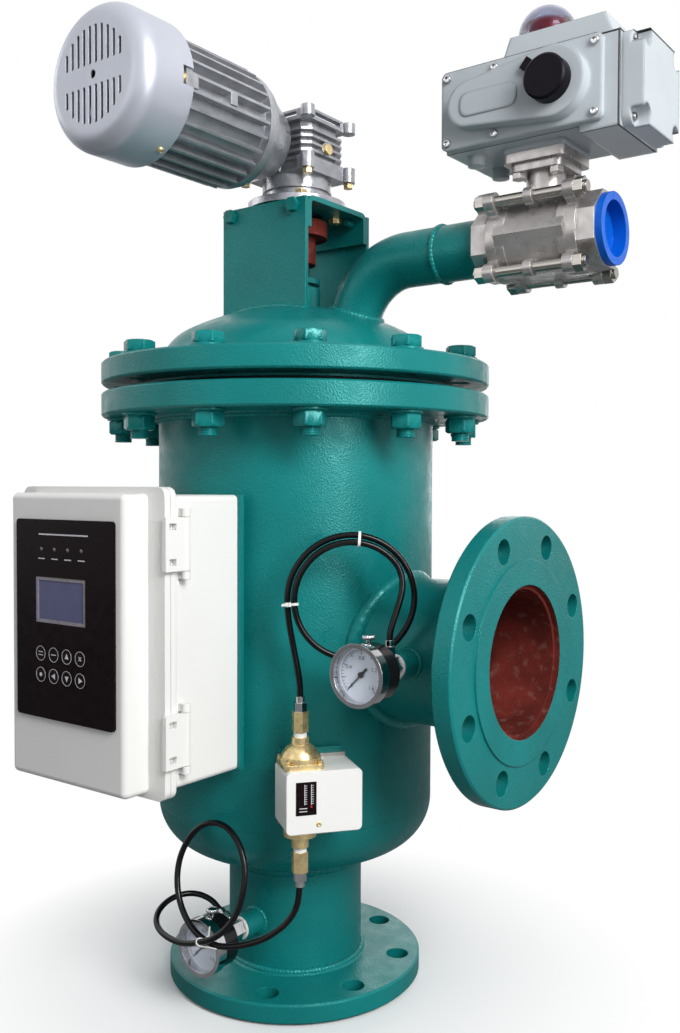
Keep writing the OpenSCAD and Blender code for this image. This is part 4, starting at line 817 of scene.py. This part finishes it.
class FILTER_OT_drive(bpy.types.Operator):
    """Finish the gearbox, motor, cowl and their screws"""

    bl_idname = "filter.drive"
    bl_label = "Gear motor"

    def execute(self, context):
        wear("cast_alloy", "gearbox_housing", "gearbox_covers")
        wear("fin_alloy", "motor_frame")
        wear("cowl_silver", "motor_cowl")
        wear("shaft_steel", "motor_rotor")
        wear_by_face("drive_bolts", "brass", (
            "vessel_paint", lambda c, n: off_axis(c) > STAND_BOLT_R and c.z < STAND_BOLT_TOP_Z))
        bm = bmesh.new()
        head = 3.6 * MM
        stack(bm, [(head, 0), (head, 1.4 * MM), (head * 0.8, 2.4 * MM), (head * 0.45, 2.8 * MM),
                   (head * 0.4, 1.6 * MM)], 18)
        pattern = new_object("cowl_screw_pattern", mesh_of("cowl_screw_pattern", bm, smooth=True))
        cowl_low, cowl_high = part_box("motor_cowl")
        reach = (cowl_high.x - cowl_low.x) / 2
        tree = screw_layout()
        for i, angle in enumerate((97, -62, 222)):
            a = math.radians(angle)
            spot = Vector((MOTOR_X + reach * math.cos(a), cowl_high.y - 9 * MM,
                           MOTOR_Z + reach * math.sin(a)))
            lay_out(f"cowl_screw_{i + 1}", wire_mesh("cowl_spot", [spot]), tree, {
                "Turn": (0.0, math.pi / 2 - a, 0.0), "Screw": pattern, "Finish": FINISH["brass"]},
                "vessel")
        bpy.data.objects.remove(pattern)
        self.shield_bolts(cowl_high)
        return {"FINISHED"}

    def shield_bolts(self, cowl_high):
        """The brass bolts of the rear shield, seen in the two notches of the cowl."""
        bm = bmesh.new()
        for side in (1, -1):
            place = facing(Vector((MOTOR_X + side * 63.5 * MM, cowl_high.y - 8 * MM, MOTOR_Z)), FRONT)
            stack(bm, [(6.2 * MM, 0), (6.2 * MM, 1.2 * MM), (5.8 * MM, 1.4 * MM)], 24, place)
            stack(bm, hex_rings(9.5 * MM, 1.4 * MM, 5.6 * MM), 36, place)
        shape_piece("shield_bolts", bm, "vessel", "brass", smooth=True)


class FILTER_OT_valve(bpy.types.Operator):
    """Finish the ball valve, its rods and the blue cap"""

    bl_idname = "filter.valve"
    bl_label = "Ball valve"

    def execute(self, context):
        wear("valve_steel", "valve_body", "valve_ends", "actuator_mount")
        wear("rod_steel", "valve_bolts", "valve_stem")
        wear("chrome", "valve_ball")
        wear("ptfe", "valve_seats")
        wear("cap_blue", "port_cap")
        return {"FINISHED"}


class FILTER_OT_actuator(bpy.types.Operator):
    """Finish the actuator, its screws, label panel, dome and drum"""

    bl_idname = "filter.actuator"
    bl_label = "Actuator"

    def execute(self, context):
        wear("actuator_coat", "actuator_case", "actuator_covers")
        wear("smoked_dome", "indicator_dome")
        wear_by_face("indicator_drum", "flag_red", (
            "flag_yellow", lambda c, n: abs(c.y) < 6 * MM and abs(n.z) < 0.5))
        wear("black_nylon", "override_cap")
        self.cover_screws()
        self.label_panel(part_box("actuator_covers")[LOW])
        return {"FINISHED"}

    def cover_screws(self):
        """Rounded socket screws on the front and end covers, where the CAD model has its plain ones."""
        low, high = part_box("actuator_screws")
        head = 4.2 * MM
        bm = bmesh.new()
        stack(bm, [(head, 0), (head, 1.6 * MM), (head * 0.86, 2.7 * MM), (head * 0.6, 3.1 * MM),
                   (hexagon(head), 3.1 * MM), (hexagon(head * 0.96), 1.2 * MM)], 24)
        pattern = new_object("cover_screw_pattern", mesh_of("cover_screw_pattern", bm, smooth=True))
        tree = screw_layout()
        mesh = NODES["actuator_screws"].data
        corners = sorted({tuple(round(u, 4) for u in v.co) for v in mesh.vertices})
        front_y, right_x, slack = low.y + 3 * MM, high.x - 3 * MM, 1 * MM
        front = [p for p in corners if p[1] < front_y + slack and p[0] < right_x - slack]
        right = [p for p in corners if p[0] > right_x - slack]
        front_spots = [(u, front_y, v) for u, v in island_centres(front, 0, 2)]
        right_spots = [(right_x, u, v) for u, v in island_centres(right, 1, 2)]
        for side, spots, turn in (("front", front_spots, (math.pi / 2, 0.0, 0.0)),
                                  ("end", right_spots, (0.0, math.pi / 2, 0.0))):
            screws = lay_out(f"{side}_screws", wire_mesh(f"{side}_spots", spots), tree, {
                "Turn": turn, "Screw": pattern, "Finish": FINISH["chrome"]}, "vessel")
            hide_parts("actuator_screws")
        bpy.data.objects.remove(pattern)

    def label_panel(self, cover_low):
        """A bare raised panel left of the override cap."""
        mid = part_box("actuator_case")
        z = (mid[LOW].z + 6 * MM + mid[HIGH].z) / 2
        place = facing(Vector((294 * MM, cover_low.y, z - 1 * MM)), FRONT)
        bm = bmesh.new()
        slab(bm, rounded(62 * MM, 24 * MM, 9 * MM, 8), place, 0.9 * MM)
        panel = shape_piece("label_panel", bm, "vessel", "actuator_coat", smooth=True)
        bevel = panel.modifiers.new("Edge", "BEVEL")
        bevel.width, bevel.segments = 0.6 * MM, 2


def island_centres(points, a, b, spread=9 * MM):
    """Centres of the groups of points that lie within a screw head of each other, on two axes."""
    groups = []
    for p in points:
        for group in groups:
            if math.hypot(p[a] - group[0][a], p[b] - group[0][b]) < spread:
                group.append(p)
                break
        else:
            groups.append([p])
    return [((min(p[a] for p in g) + max(p[a] for p in g)) / 2,
             (min(p[b] for p in g) + max(p[b] for p in g)) / 2) for g in groups]


class FILTER_OT_control_box(bpy.types.Operator):
    """Finish the control box, its door, panel, display, lamps and keys"""

    bl_idname = "filter.control_box"
    bl_label = "Control box"

    def execute(self, context):
        wear("box_plastic", "box_case", "box_door", "latch_upper", "latch_lower")
        low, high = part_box("keypad_panel")
        face_y = low.y
        lcd = Vector((low.x + 70 * MM, face_y + 1.2 * MM, high.z - 81 * MM))
        lcd_w, lcd_h = 76 * MM, 46 * MM

        def in_display(c, n):
            inside = abs(c.x - lcd.x) < lcd_w / 2 + 0.1 * MM and abs(c.z - lcd.z) < lcd_h / 2 + 0.1 * MM
            return inside and c.y > face_y + 0.2 * MM and c.y < face_y + 1.4 * MM

        wear_by_face("keypad_panel", "panel_foil", ("display", in_display))
        self.display_frame(lcd, lcd_w, lcd_h)
        self.lamps(low, high, face_y)
        for i in range(1, 9):
            wear("key_foil", f"key_{i}")
            self.key_print(i)
        return {"FINISHED"}

    def display_frame(self, lcd, width, height):
        """The pale bevelled edge inside the display window."""
        place = facing(lcd + Vector((0, -0.02 * MM, 0)), FRONT)
        edge = 3.2 * MM
        bm = bmesh.new()
        for x, y, w, h in ((0, height / 2 - edge / 2, width, edge), (0, -height / 2 + edge / 2, width, edge),
                           (width / 2 - edge / 2, 0, edge, height - 2 * edge),
                           (-width / 2 + edge / 2, 0, edge, height - 2 * edge)):
            slab(bm, bar(x, y, w, h), place, 0.7 * MM)
        shape_piece("display_frame", bm, "door", "display_frame")

    def lamps(self, low, high, face_y):
        """Four lamps over the display, each with a bare line of print under it."""
        thick = sizes().print_t
        lamps, lines = bmesh.new(), bmesh.new()
        for i in range(4):
            spot = Vector((low.x + (41 + 20.5 * i) * MM, face_y, high.z - 30 * MM))
            stack(lamps, [(2.0 * MM, 0), (1.9 * MM, 0.4 * MM), (1.2 * MM, 0.9 * MM)], 16, facing(spot, FRONT))
            slab(lines, bar(0, -9.5 * MM, 10 * MM, 1.1 * MM), facing(spot, FRONT), thick)
        shape_piece("status_lamps", lamps, "door", "lamp_lens", smooth=True)
        title = facing(Vector(((low.x + high.x) / 2, face_y, high.z - 15 * MM)), FRONT)
        slab(lines, bar(0, 0, 76 * MM, 1.4 * MM), title, thick)
        shape_piece("panel_print", lines, "door", "print_white")

    def key_print(self, i):
        """The printed ring of a key, with an arrow, a bar or a dot inside."""
        key = f"key_{i}"
        place = facing(Vector((middle(key, "x"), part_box(key)[LOW].y, middle(key, "z"))), FRONT)
        thick, ring, line = sizes().print_t, 7.4 * MM, 0.45 * MM
        bm = bmesh.new()
        stack(bm, [(ring, 0), (ring, thick), (ring - line, thick), (ring - line, 0)], 40, place, closed=True)
        arrows = {3: 90, 6: 180, 7: 270, 8: 0}
        if i in arrows:
            a = math.radians(arrows[i])
            slab(bm, [polar(3.6 * MM, a + t) for t in (0, 2.2, -2.2)], place, thick)
        elif i == 1:
            for y in (1.6, -1.6):
                slab(bm, bar(0, y * MM, 7 * MM, 0.8 * MM), place, thick)
        elif i == 2:
            slab(bm, bar(0, 0, 7.5 * MM, 0.9 * MM), place, thick)
        elif i == 4:
            slab(bm, bar(0, 0, 5.2 * MM, 1.0 * MM, 0.8), place, thick)
            slab(bm, bar(0, 0, 5.2 * MM, 1.0 * MM, -0.8), place, thick)
        else:
            slab(bm, [polar(2.0 * MM, a) for a in full_turn(24)], place, thick)
        shape_piece(f"key_print_{i}", bm, f"button_{i}", "print_white")


class FILTER_OT_gauges(bpy.types.Operator):
    """Finish both gauges and print their dials"""

    bl_idname = "filter.gauges"
    bl_label = "Gauges"

    top: bpy.props.FloatProperty(
        name="Full scale", description="Reading at the end of the scale", default=1.6)

    def execute(self, context):
        bezel_y, case_r = -159.6 * MM, 28.5 * MM

        def axis_of(c):
            return GAUGES["outlet"] if c.x > GAUGE_SPLIT_X else GAUGES["inlet"]

        def radius(c):
            return math.hypot(c.x - axis_of(c).x, c.z - axis_of(c).z)

        def bright(c, n):
            lip = c.y < bezel_y - 1.4 * MM and radius(c) > case_r - 2.2 * MM
            back = c.y < bezel_y + 0.5 * MM and radius(c) > case_r + 0.2 * MM
            return lip or back or radius(c) > case_r + 0.3 * MM

        def printed(c, n):
            return n.y < -0.9 and radius(c) < case_r - 1.9 * MM and c.y < bezel_y - 0.4 * MM

        wear_by_face("gauge_cases", "gauge_black", ("chrome", bright), ("dial_white", printed))
        wear("gauge_glass", "gauge_lenses")
        wear("print_black", "needle_outlet", "needle_inlet")
        for name, spot in GAUGES.items():
            self.dial(name, spot)
        self.vent_knobs()
        return {"FINISHED"}

    def vent_knobs(self):
        """The knurled vent screw on top of each case."""
        bm = bmesh.new()
        for spot in GAUGES.values():
            place = Matrix.Translation((spot.x, -VENT_Y, spot.z + 32.3 * MM))
            knurl = [lambda a, r=r: (r + 0.22 * math.cos(26 * a)) * MM for r in (6.0, 6.3, 6.0)]
            stack(bm, [(3.4 * MM, 0), (5.4 * MM, 0.5 * MM), (knurl[0], 1.1 * MM), (knurl[1], 2.6 * MM),
                       (knurl[2], 4.1 * MM), (5.2 * MM, 4.9 * MM), (2.4 * MM, 5.2 * MM)], 104, place)
        shape_piece("vent_knobs", bm, "vessel", "chrome", smooth=True)

    def dial(self, name, spot):
        """Ticks and figures on an open scale of three quarters of a turn."""
        thick, scale_r = sizes().print_t, 23.5 * MM
        place = facing(Vector((spot.x, DIAL_Y, spot.z)), FRONT)
        bm = bmesh.new()
        for i, a in enumerate(self.scale_angles(32)):
            long, wide = (4.0, 0.8) if i % 4 == 0 else (2.2, 0.45)
            tick = bar(*polar(scale_r - long / 2 * MM, a), long * MM, wide * MM, a)
            slab(bm, tick, place, thick)
        for i, a in enumerate(self.scale_angles(4)):
            at = Matrix.Translation((*polar(scale_r - 7.4 * MM, a), 0))
            lettering(bm, f"{self.top * i / 4:g}", 5.6 * MM, place @ at, thick)
        arc, rim_r = self.scale_angles(60), scale_r + 0.35 * MM
        for a, b in zip(arc, arc[1:]):
            corners = ((scale_r, a), (rim_r, a), (rim_r, b), (scale_r, b))
            slab(bm, [polar(r, t) for r, t in corners], place, thick)
        shape_piece(f"dial_print_{name}", bm, "vessel", "print_black")

    def scale_angles(self, steps):
        return [math.radians(225 - 270 * i / steps) for i in range(steps + 1)]


class FILTER_OT_switch(bpy.types.Operator):
    """Finish the pressure-difference switch, its window and the hose fittings"""

    bl_idname = "filter.switch"
    bl_label = "Pressure switch"

    def execute(self, context):
        c, s = math.cos(SWITCH_ANGLE), math.sin(SWITCH_ANGLE)
        out, along = Vector((c, s, 0)), Vector((-s, c, 0))
        wear_by_face("dp_switch", "box_plastic", (
            "shaft_steel", lambda p, n: p.dot(out) < SWITCH_PLATE_FRONT))

        def at_switch(p):
            return off_axis(p - SWITCH_PORT) < SWITCH_PORT_R and p.z > SWITCH_LOW_Z

        def banded(bands):
            return lambda p, n: at_switch(p) and any(lo * MM < p.z < hi * MM for lo, hi in bands)

        def on_front(side, z):
            return facing(out * SWITCH_FRONT + along * side * MM + Vector((0, 0, z * MM)), out)

        wear_by_face(
            "hose_fittings", "brass",
            ("thread_tape", banded(TAPE_BANDS)),
            ("chrome", banded(CHROME_BANDS)),
            ("chrome", lambda p, n: not at_switch(p)))
        self.scale_window(on_front(-44.5, 271.5))
        self.lid_screw(on_front(-31.5, 245))
        self.stub_tape()
        return {"FINISHED"}

    def scale_window(self, window):
        """A dark plate with two plain scales, two lines of print and a red pointer."""
        bm = bmesh.new()
        slab(bm, bar(0, 0, 21 * MM, 33 * MM), window, 0.5 * MM)
        shape_piece("scale_plate", bm, "vessel", "panel_foil")
        bm = bmesh.new()
        thick = sizes().print_t
        raised = window @ Matrix.Translation((0, 0, 0.5 * MM))
        for x in (-1.6, 5.2):
            slab(bm, bar(x * MM, 4 * MM, 0.6 * MM, 20 * MM), raised, thick)
            for i in range(9):
                slab(bm, bar((x + 1.3) * MM, (-5 + 2.25 * i) * MM, 2.2 * MM, 0.5 * MM), raised, thick)
        for y in (-9.5, -12.5):
            slab(bm, bar(-3 * MM, y * MM, 8 * MM, 0.8 * MM), raised, thick)
        shape_piece("scale_print", bm, "vessel", "print_white")
        bm = bmesh.new()
        slab(bm, [(4.2 * MM, -9 * MM), (6.4 * MM, -9 * MM), (5.3 * MM, -5.5 * MM)], raised, thick)
        shape_piece("scale_pointer", bm, "vessel", "print_red")

    def lid_screw(self, place):
        bm = bmesh.new()
        head = [(2.8 * MM, 0), (2.6 * MM, 0.7 * MM), (1.6 * MM, 0.9 * MM), (1.5 * MM, 0.3 * MM)]
        stack(bm, head, 20, place)
        shape_piece("lid_screw", bm, "vessel", "brass", smooth=True)

    def stub_tape(self):
        """White thread tape that shows where each tee meets its stub."""
        bm = bmesh.new()
        for spot in GAUGES.values():
            place = facing(Vector((spot.x, STUB_TAPE_Y, spot.z)), FRONT)
            r = 12.9 * MM
            stack(bm, [(r, 0), (lambda a: r + 0.5 * MM * math.sin(5 * a), 1.0 * MM),
                       (lambda a: r + 0.6 * MM * math.cos(3 * a), 2.4 * MM),
                       (r - 0.2 * MM, 3.2 * MM)], 40, place)
        shape_piece("stub_tape", bm, "vessel", "thread_tape", smooth=True)


# Sensing hoses: the routes follow the CAD tubes

LOOP_CENTRE = Vector((174, -123, 467)) * MM
LOOP_R, LOOP_GROW, LOOP_MID = 60.5 * MM, 7 * MM, 260
LOOP_BEARING = math.radians(-50)
LOOP_FROM, LOOP_TO, LOOP_STEP, LOOP_JOIN = 20, 545, 15, 50
LOOP_DRIFT = 6 * MM
LOOP_SIDE = Vector((-math.sin(LOOP_BEARING), math.cos(LOOP_BEARING), 0))
LOOP_OUT = Vector((math.cos(LOOP_BEARING), math.sin(LOOP_BEARING), 0))


def loop_at(angle):
    """A point of the upper hose's turns."""
    a = math.radians(angle)
    r = LOOP_R + LOOP_GROW * (angle - LOOP_MID) / 360
    drift = (0.5 - (angle - LOOP_FROM) / (LOOP_TO - LOOP_FROM)) * LOOP_DRIFT
    return LOOP_CENTRE + r * (math.cos(a) * LOOP_SIDE + Vector((0, 0, math.sin(a)))) + drift * LOOP_OUT


def in_metres(points):
    return [Vector(p) * MM for p in points]


def bend(p, u, q, v, n):
    """Points of one easy bend between two places, each with its heading."""
    return [(2 * t ** 3 - 3 * t ** 2 + 1) * p + (t ** 3 - 2 * t ** 2 + t) * u
            + (3 * t ** 2 - 2 * t ** 3) * q + (t ** 3 - t ** 2) * v for t in (i / n for i in range(n + 1))]


def upper_route():
    turns = [loop_at(a) for a in range(LOOP_JOIN + LOOP_STEP, LOOP_TO + 1, LOOP_STEP)]
    first, rise = in_metres([(213, -114.5, 428), (0, 0, 75)])
    join = (loop_at(LOOP_JOIN + 1) - loop_at(LOOP_JOIN - 1)).normalized() * 120 * MM
    start = bend(first, rise, loop_at(LOOP_JOIN), join, 9)
    end = in_metres([(122.4, -160.8, 441), (124, -158.2, 425), (126.3, -156.6, 410), (129, -155.4, 395),
                     (131, -154.5, 381), (131.6, -154.3, 368)])
    return start + turns + end


def lower_route():
    start = bend(*in_metres([(131.6, -154.3, 174), (0, 0, -90), (96, -177, 116), (-72.2, -34.3, -41.5)]), 4)
    end = bend(*in_metres([(0, -200, 98), (-278.3, 28, -14), (-16.4, -114.5, 99), (137.7, 0, -116)]), 12)
    return start + in_metres([
        (74, -186, 108), (51, -193, 105), (30, -196, 111), (11, -195, 123), (-4, -191, 140),
        (-12, -186, 160), (-12, -181, 181), (-4, -176, 201), (11, -174, 216), (31, -174, 224),
        (52, -176, 223), (70, -179, 212), (82, -183, 194), (86, -188, 174), (84, -193, 154),
        (76, -199, 135), (61, -204, 120), (41, -206, 110), (19, -203, 102)]) + end


def eased_route(points, between=5):
    """The route as one smooth line through its points."""
    ends = [2 * points[0] - points[1], *points, 2 * points[-1] - points[-2]]
    line = []
    for a, b, c, d in zip(ends, ends[1:], ends[2:], ends[3:]):
        for k in range(between):
            t = k / between
            line.append(0.5 * (2 * b + (c - a) * t + (2 * a - 5 * b + 4 * c - d) * t ** 2
                               + (3 * b - a - 3 * c + d) * t ** 3))
    return line + [points[-1].copy()]


class FILTER_OT_hoses(bpy.types.Operator):
    """Run the two sensing hoses and their ties"""

    bl_idname = "filter.hoses"
    bl_label = "Hoses"

    def execute(self, context):
        for name, route, lay in (("upper", upper_route(), "coiled"), ("lower", lower_route(), "loose")):
            line = eased_route(route)
            curve = bpy.data.curves.new(f"hose_{name}_line", "CURVE")
            curve.dimensions = "3D"
            curve.bevel_depth, curve.bevel_resolution, curve.use_fill_caps = sizes().hose_d / 2, 5, True
            spline = curve.splines.new("POLY")
            spline.points.add(len(line) - 1)
            for point, p in zip(spline.points, line):
                point.co = (*p, 1.0)
            spline.use_smooth = True
            hose = new_object(f"sensing_hose_{name}", curve)
            curve.materials.append(FINISH["hose_black"])
            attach(hose, "vessel")
            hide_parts(f"hose_{name}")
        self.ties()
        return {"FINISHED"}

    def ties(self):
        """White ties: one at the top and one at the left of the loop, one on the lower hose."""
        lower = lower_route()
        first, second = 6, 22
        bm = bmesh.new()
        for angle, heading in ((84, -LOOP_SIDE), (185, Vector((0, 0, 1)))):
            self.tie(bm, loop_at(angle), loop_at(angle + 360), heading)
        self.tie(bm, lower[first], lower[second], (lower[second] - lower[second - 1]).normalized())
        shape_piece("hose_ties", bm, "vessel", "white_nylon", smooth=True)

    def tie(self, bm, a, b, heading):
        """A strap round two strands, with its head and a short tail."""
        mid, across = (a + b) / 2, b - a
        gap = across.length
        across = across.normalized()
        heading = (heading - heading.dot(across) * across).normalized()
        up = across.cross(heading)
        near, thick, wide = sizes().hose_d / 2 + 0.15 * MM, 1.0 * MM, 2.6 * MM
        path = []
        for side, start in ((1, -90), (-1, 90)):
            for i in range(13):
                t = math.radians(start + 180 * i / 12)
                path.append((side * gap / 2, math.cos(t), math.sin(t)))
        loops = []
        for shift, c, s in path:
            loop = []
            for grow, w in ((0, -wide / 2), (thick, -wide / 2), (thick, wide / 2), (0, wide / 2)):
                r = near + grow
                loop.append(bm.verts.new(mid + across * (shift + r * c) + up * (r * s) + heading * w))
            loops.append(loop)
        join_loops(bm, loops + loops[:1])
        turn = Matrix((across, up, heading)).transposed().to_4x4()
        block(bm, mid - up * (near + 2.2 * MM), (5 * MM, 3.6 * MM, 4.2 * MM), turn)
        block(bm, mid - up * (near + 9 * MM) + heading * 0.6 * MM, (1.2 * MM, 11 * MM, 2.4 * MM), turn)


# Each lamp: name, place, target, size and power
LAMPS = (
    ("key_light", (1.97, -0.95, 1.90), (0.10, -0.05, 0.55), (0.9, 0.9), 41),
    ("strip_light", (1.80, -0.58, 1.08), (0.0, 0.0, 0.64), (0.50, 1.0), 18),
    ("fill_light", (-0.9, -2.6, 1.5), (0.0, 0.0, 0.5), (1.4, 1.4), 5),
    ("rim_light", (-1.9, -0.6, 1.6), (0.0, 0.0, 0.6), (0.8, 0.8), 5),
    ("back_light", (-0.9, 2.4, 1.1), (0.0, 0.0, 0.5), (1.4, 1.4), 7),
)


class FILTER_OT_stage(bpy.types.Operator):
    """Set the floor, the light and the camera"""

    bl_idname = "filter.stage"
    bl_label = "Stage"

    def execute(self, context):
        self.floor()
        self.world()
        for lamp in LAMPS:
            self.lamp(*lamp)
        self.camera()
        context.scene.view_settings.view_transform = "Standard"
        return {"FINISHED"}

    def floor(self):
        bm = bmesh.new()
        bmesh.ops.create_circle(bm, cap_ends=True, segments=96, radius=6.0)
        mesh = bpy.data.meshes.new("floor")
        bm.to_mesh(mesh)
        bm.free()
        floor = new_object("floor", mesh)
        floor.location.z = -0.2 * MM
        material, tree, shader, where = start_finish(Roughness=0.8)
        material.name = "pale_floor"
        far = put(tree, "ShaderNodeVectorMath", {"operation": "LENGTH"}, in0=where).outputs["Value"]
        fade = between(tree, far, 0.0, 1.0, 0.13, 0.42)
        ray = put(tree, "ShaderNodeLightPath").outputs
        pale = mix_colours(tree, ray["Is Camera Ray"], (0.26, 0.26, 0.26, 1), (0.90, 0.90, 0.90, 1))
        tint(tree, shader, pale)
        direct = maths(tree, "MAXIMUM", ray["Is Camera Ray"], ray["Is Transmission Ray"])
        seen = maths(tree, "MULTIPLY", fade, direct)
        white = put(tree, "ShaderNodeEmission", Color=(1, 1, 1, 1), Strength=1.0).outputs[0]
        mixed = put(tree, "ShaderNodeMixShader", in0=seen, in1=shader.outputs[0], in2=white).outputs[0]
        tree.links.new(mixed, tree.nodes["Material Output"].inputs["Surface"])
        mesh.materials.append(material)

    def seen_ray(self, tree):
        """1 for rays that show the backdrop: from the camera, off metal or through glass."""
        ray = put(tree, "ShaderNodeLightPath").outputs
        shown = maths(tree, "MAXIMUM", ray["Is Camera Ray"], ray["Is Glossy Ray"])
        return maths(tree, "MAXIMUM", shown, ray["Is Transmission Ray"])

    def world(self):
        world = bpy.data.worlds.new("studio")
        bpy.context.scene.world = world
        world.use_nodes = True
        tree = world.node_tree
        tree.nodes.clear()
        up = put(tree, "ShaderNodeSeparateXYZ",
                 Vector=put(tree, "ShaderNodeTexCoord").outputs["Generated"]).outputs["Z"]
        sky = between(tree, up, 0.06, 0.40, -0.15, 0.75)
        soft = put(tree, "ShaderNodeBackground", Color=(0.88, 0.95, 1.0, 1), Strength=sky).outputs[0]
        white = put(tree, "ShaderNodeBackground", Color=(1, 1, 1, 1), Strength=1.0).outputs[0]
        mixed = put(tree, "ShaderNodeMixShader", in0=self.seen_ray(tree), in1=soft, in2=white).outputs[0]
        put(tree, "ShaderNodeOutputWorld", Surface=mixed)

    def lamp(self, name, place, target, size, power):
        data = bpy.data.lights.new(name, "AREA")
        data.shape, data.energy = "RECTANGLE", power
        data.size, data.size_y = size
        lamp = new_object(name, data)
        lamp.location = place
        lamp.rotation_mode = "QUATERNION"
        lamp.rotation_quaternion = (Vector(target) - Vector(place)).to_track_quat("-Z", "Y")

    def camera(self):
        """The photograph's view: its place, heading, tilt and lens were solved from the flanges."""
        data = bpy.data.cameras.new("camera")
        data.sensor_width, data.lens = 36.0, 35.775
        camera = new_object("camera", data)
        camera.location = (0.78055, -0.95685, 0.58029)
        heading, tilt, roll = math.radians(126.766), math.radians(-1.691), math.radians(0.203)
        look = Vector((*polar(math.cos(tilt), heading), math.sin(tilt)))
        right = look.cross(Vector((0, 0, 1))).normalized()
        level_up = right.cross(look)
        tilted = right * math.cos(roll) + level_up * math.sin(roll)
        camera.rotation_mode = "QUATERNION"
        camera.rotation_quaternion = Matrix((tilted, tilted.cross(look), -look)).transposed().to_quaternion()
        bpy.context.scene.camera = camera


class FILTER_PT_panel(bpy.types.Panel):
    """Lists the steps that dress the filter"""

    bl_idname = "FILTER_PT_panel"
    bl_label = "Self-cleaning filter"
    bl_space_type = "VIEW_3D"
    bl_region_type = "UI"
    bl_category = "Filter"

    def draw(self, context):
        for group in (context.scene.filter_sizes, context.scene.filter_colours):
            for name in group.bl_rna.properties.keys():
                if name not in ("rna_type", "name"):
                    self.layout.prop(group, name)
        for step in STEPS:
            self.layout.operator(step.bl_idname)


STEPS = (FILTER_OT_stage, FILTER_OT_hoses, FILTER_OT_vessel, FILTER_OT_welds, FILTER_OT_cover_bolts,
         FILTER_OT_drive, FILTER_OT_valve, FILTER_OT_actuator, FILTER_OT_control_box, FILTER_OT_gauges,
         FILTER_OT_switch)
CLASSES = (FilterSizes, FilterColours, *STEPS, FILTER_PT_panel)


def register():
    for cls in CLASSES:
        bpy.utils.register_class(cls)
    bpy.types.Scene.filter_sizes = bpy.props.PointerProperty(type=FilterSizes)
    bpy.types.Scene.filter_colours = bpy.props.PointerProperty(type=FilterColours)


def unregister():
    del bpy.types.Scene.filter_colours
    del bpy.types.Scene.filter_sizes
    for cls in reversed(CLASSES):
        bpy.utils.unregister_class(cls)


def main():
    register()
    make_finishes(colours())
    bpy.ops.filter.stage()
    bpy.ops.filter.hoses()
    bpy.ops.filter.vessel()
    bpy.ops.filter.welds()
    bpy.ops.filter.cover_bolts()
    bpy.ops.filter.drive()
    bpy.ops.filter.valve()
    bpy.ops.filter.actuator()
    bpy.ops.filter.control_box()
    bpy.ops.filter.gauges()
    bpy.ops.filter.switch()


if __name__ == "__main__":
    main()
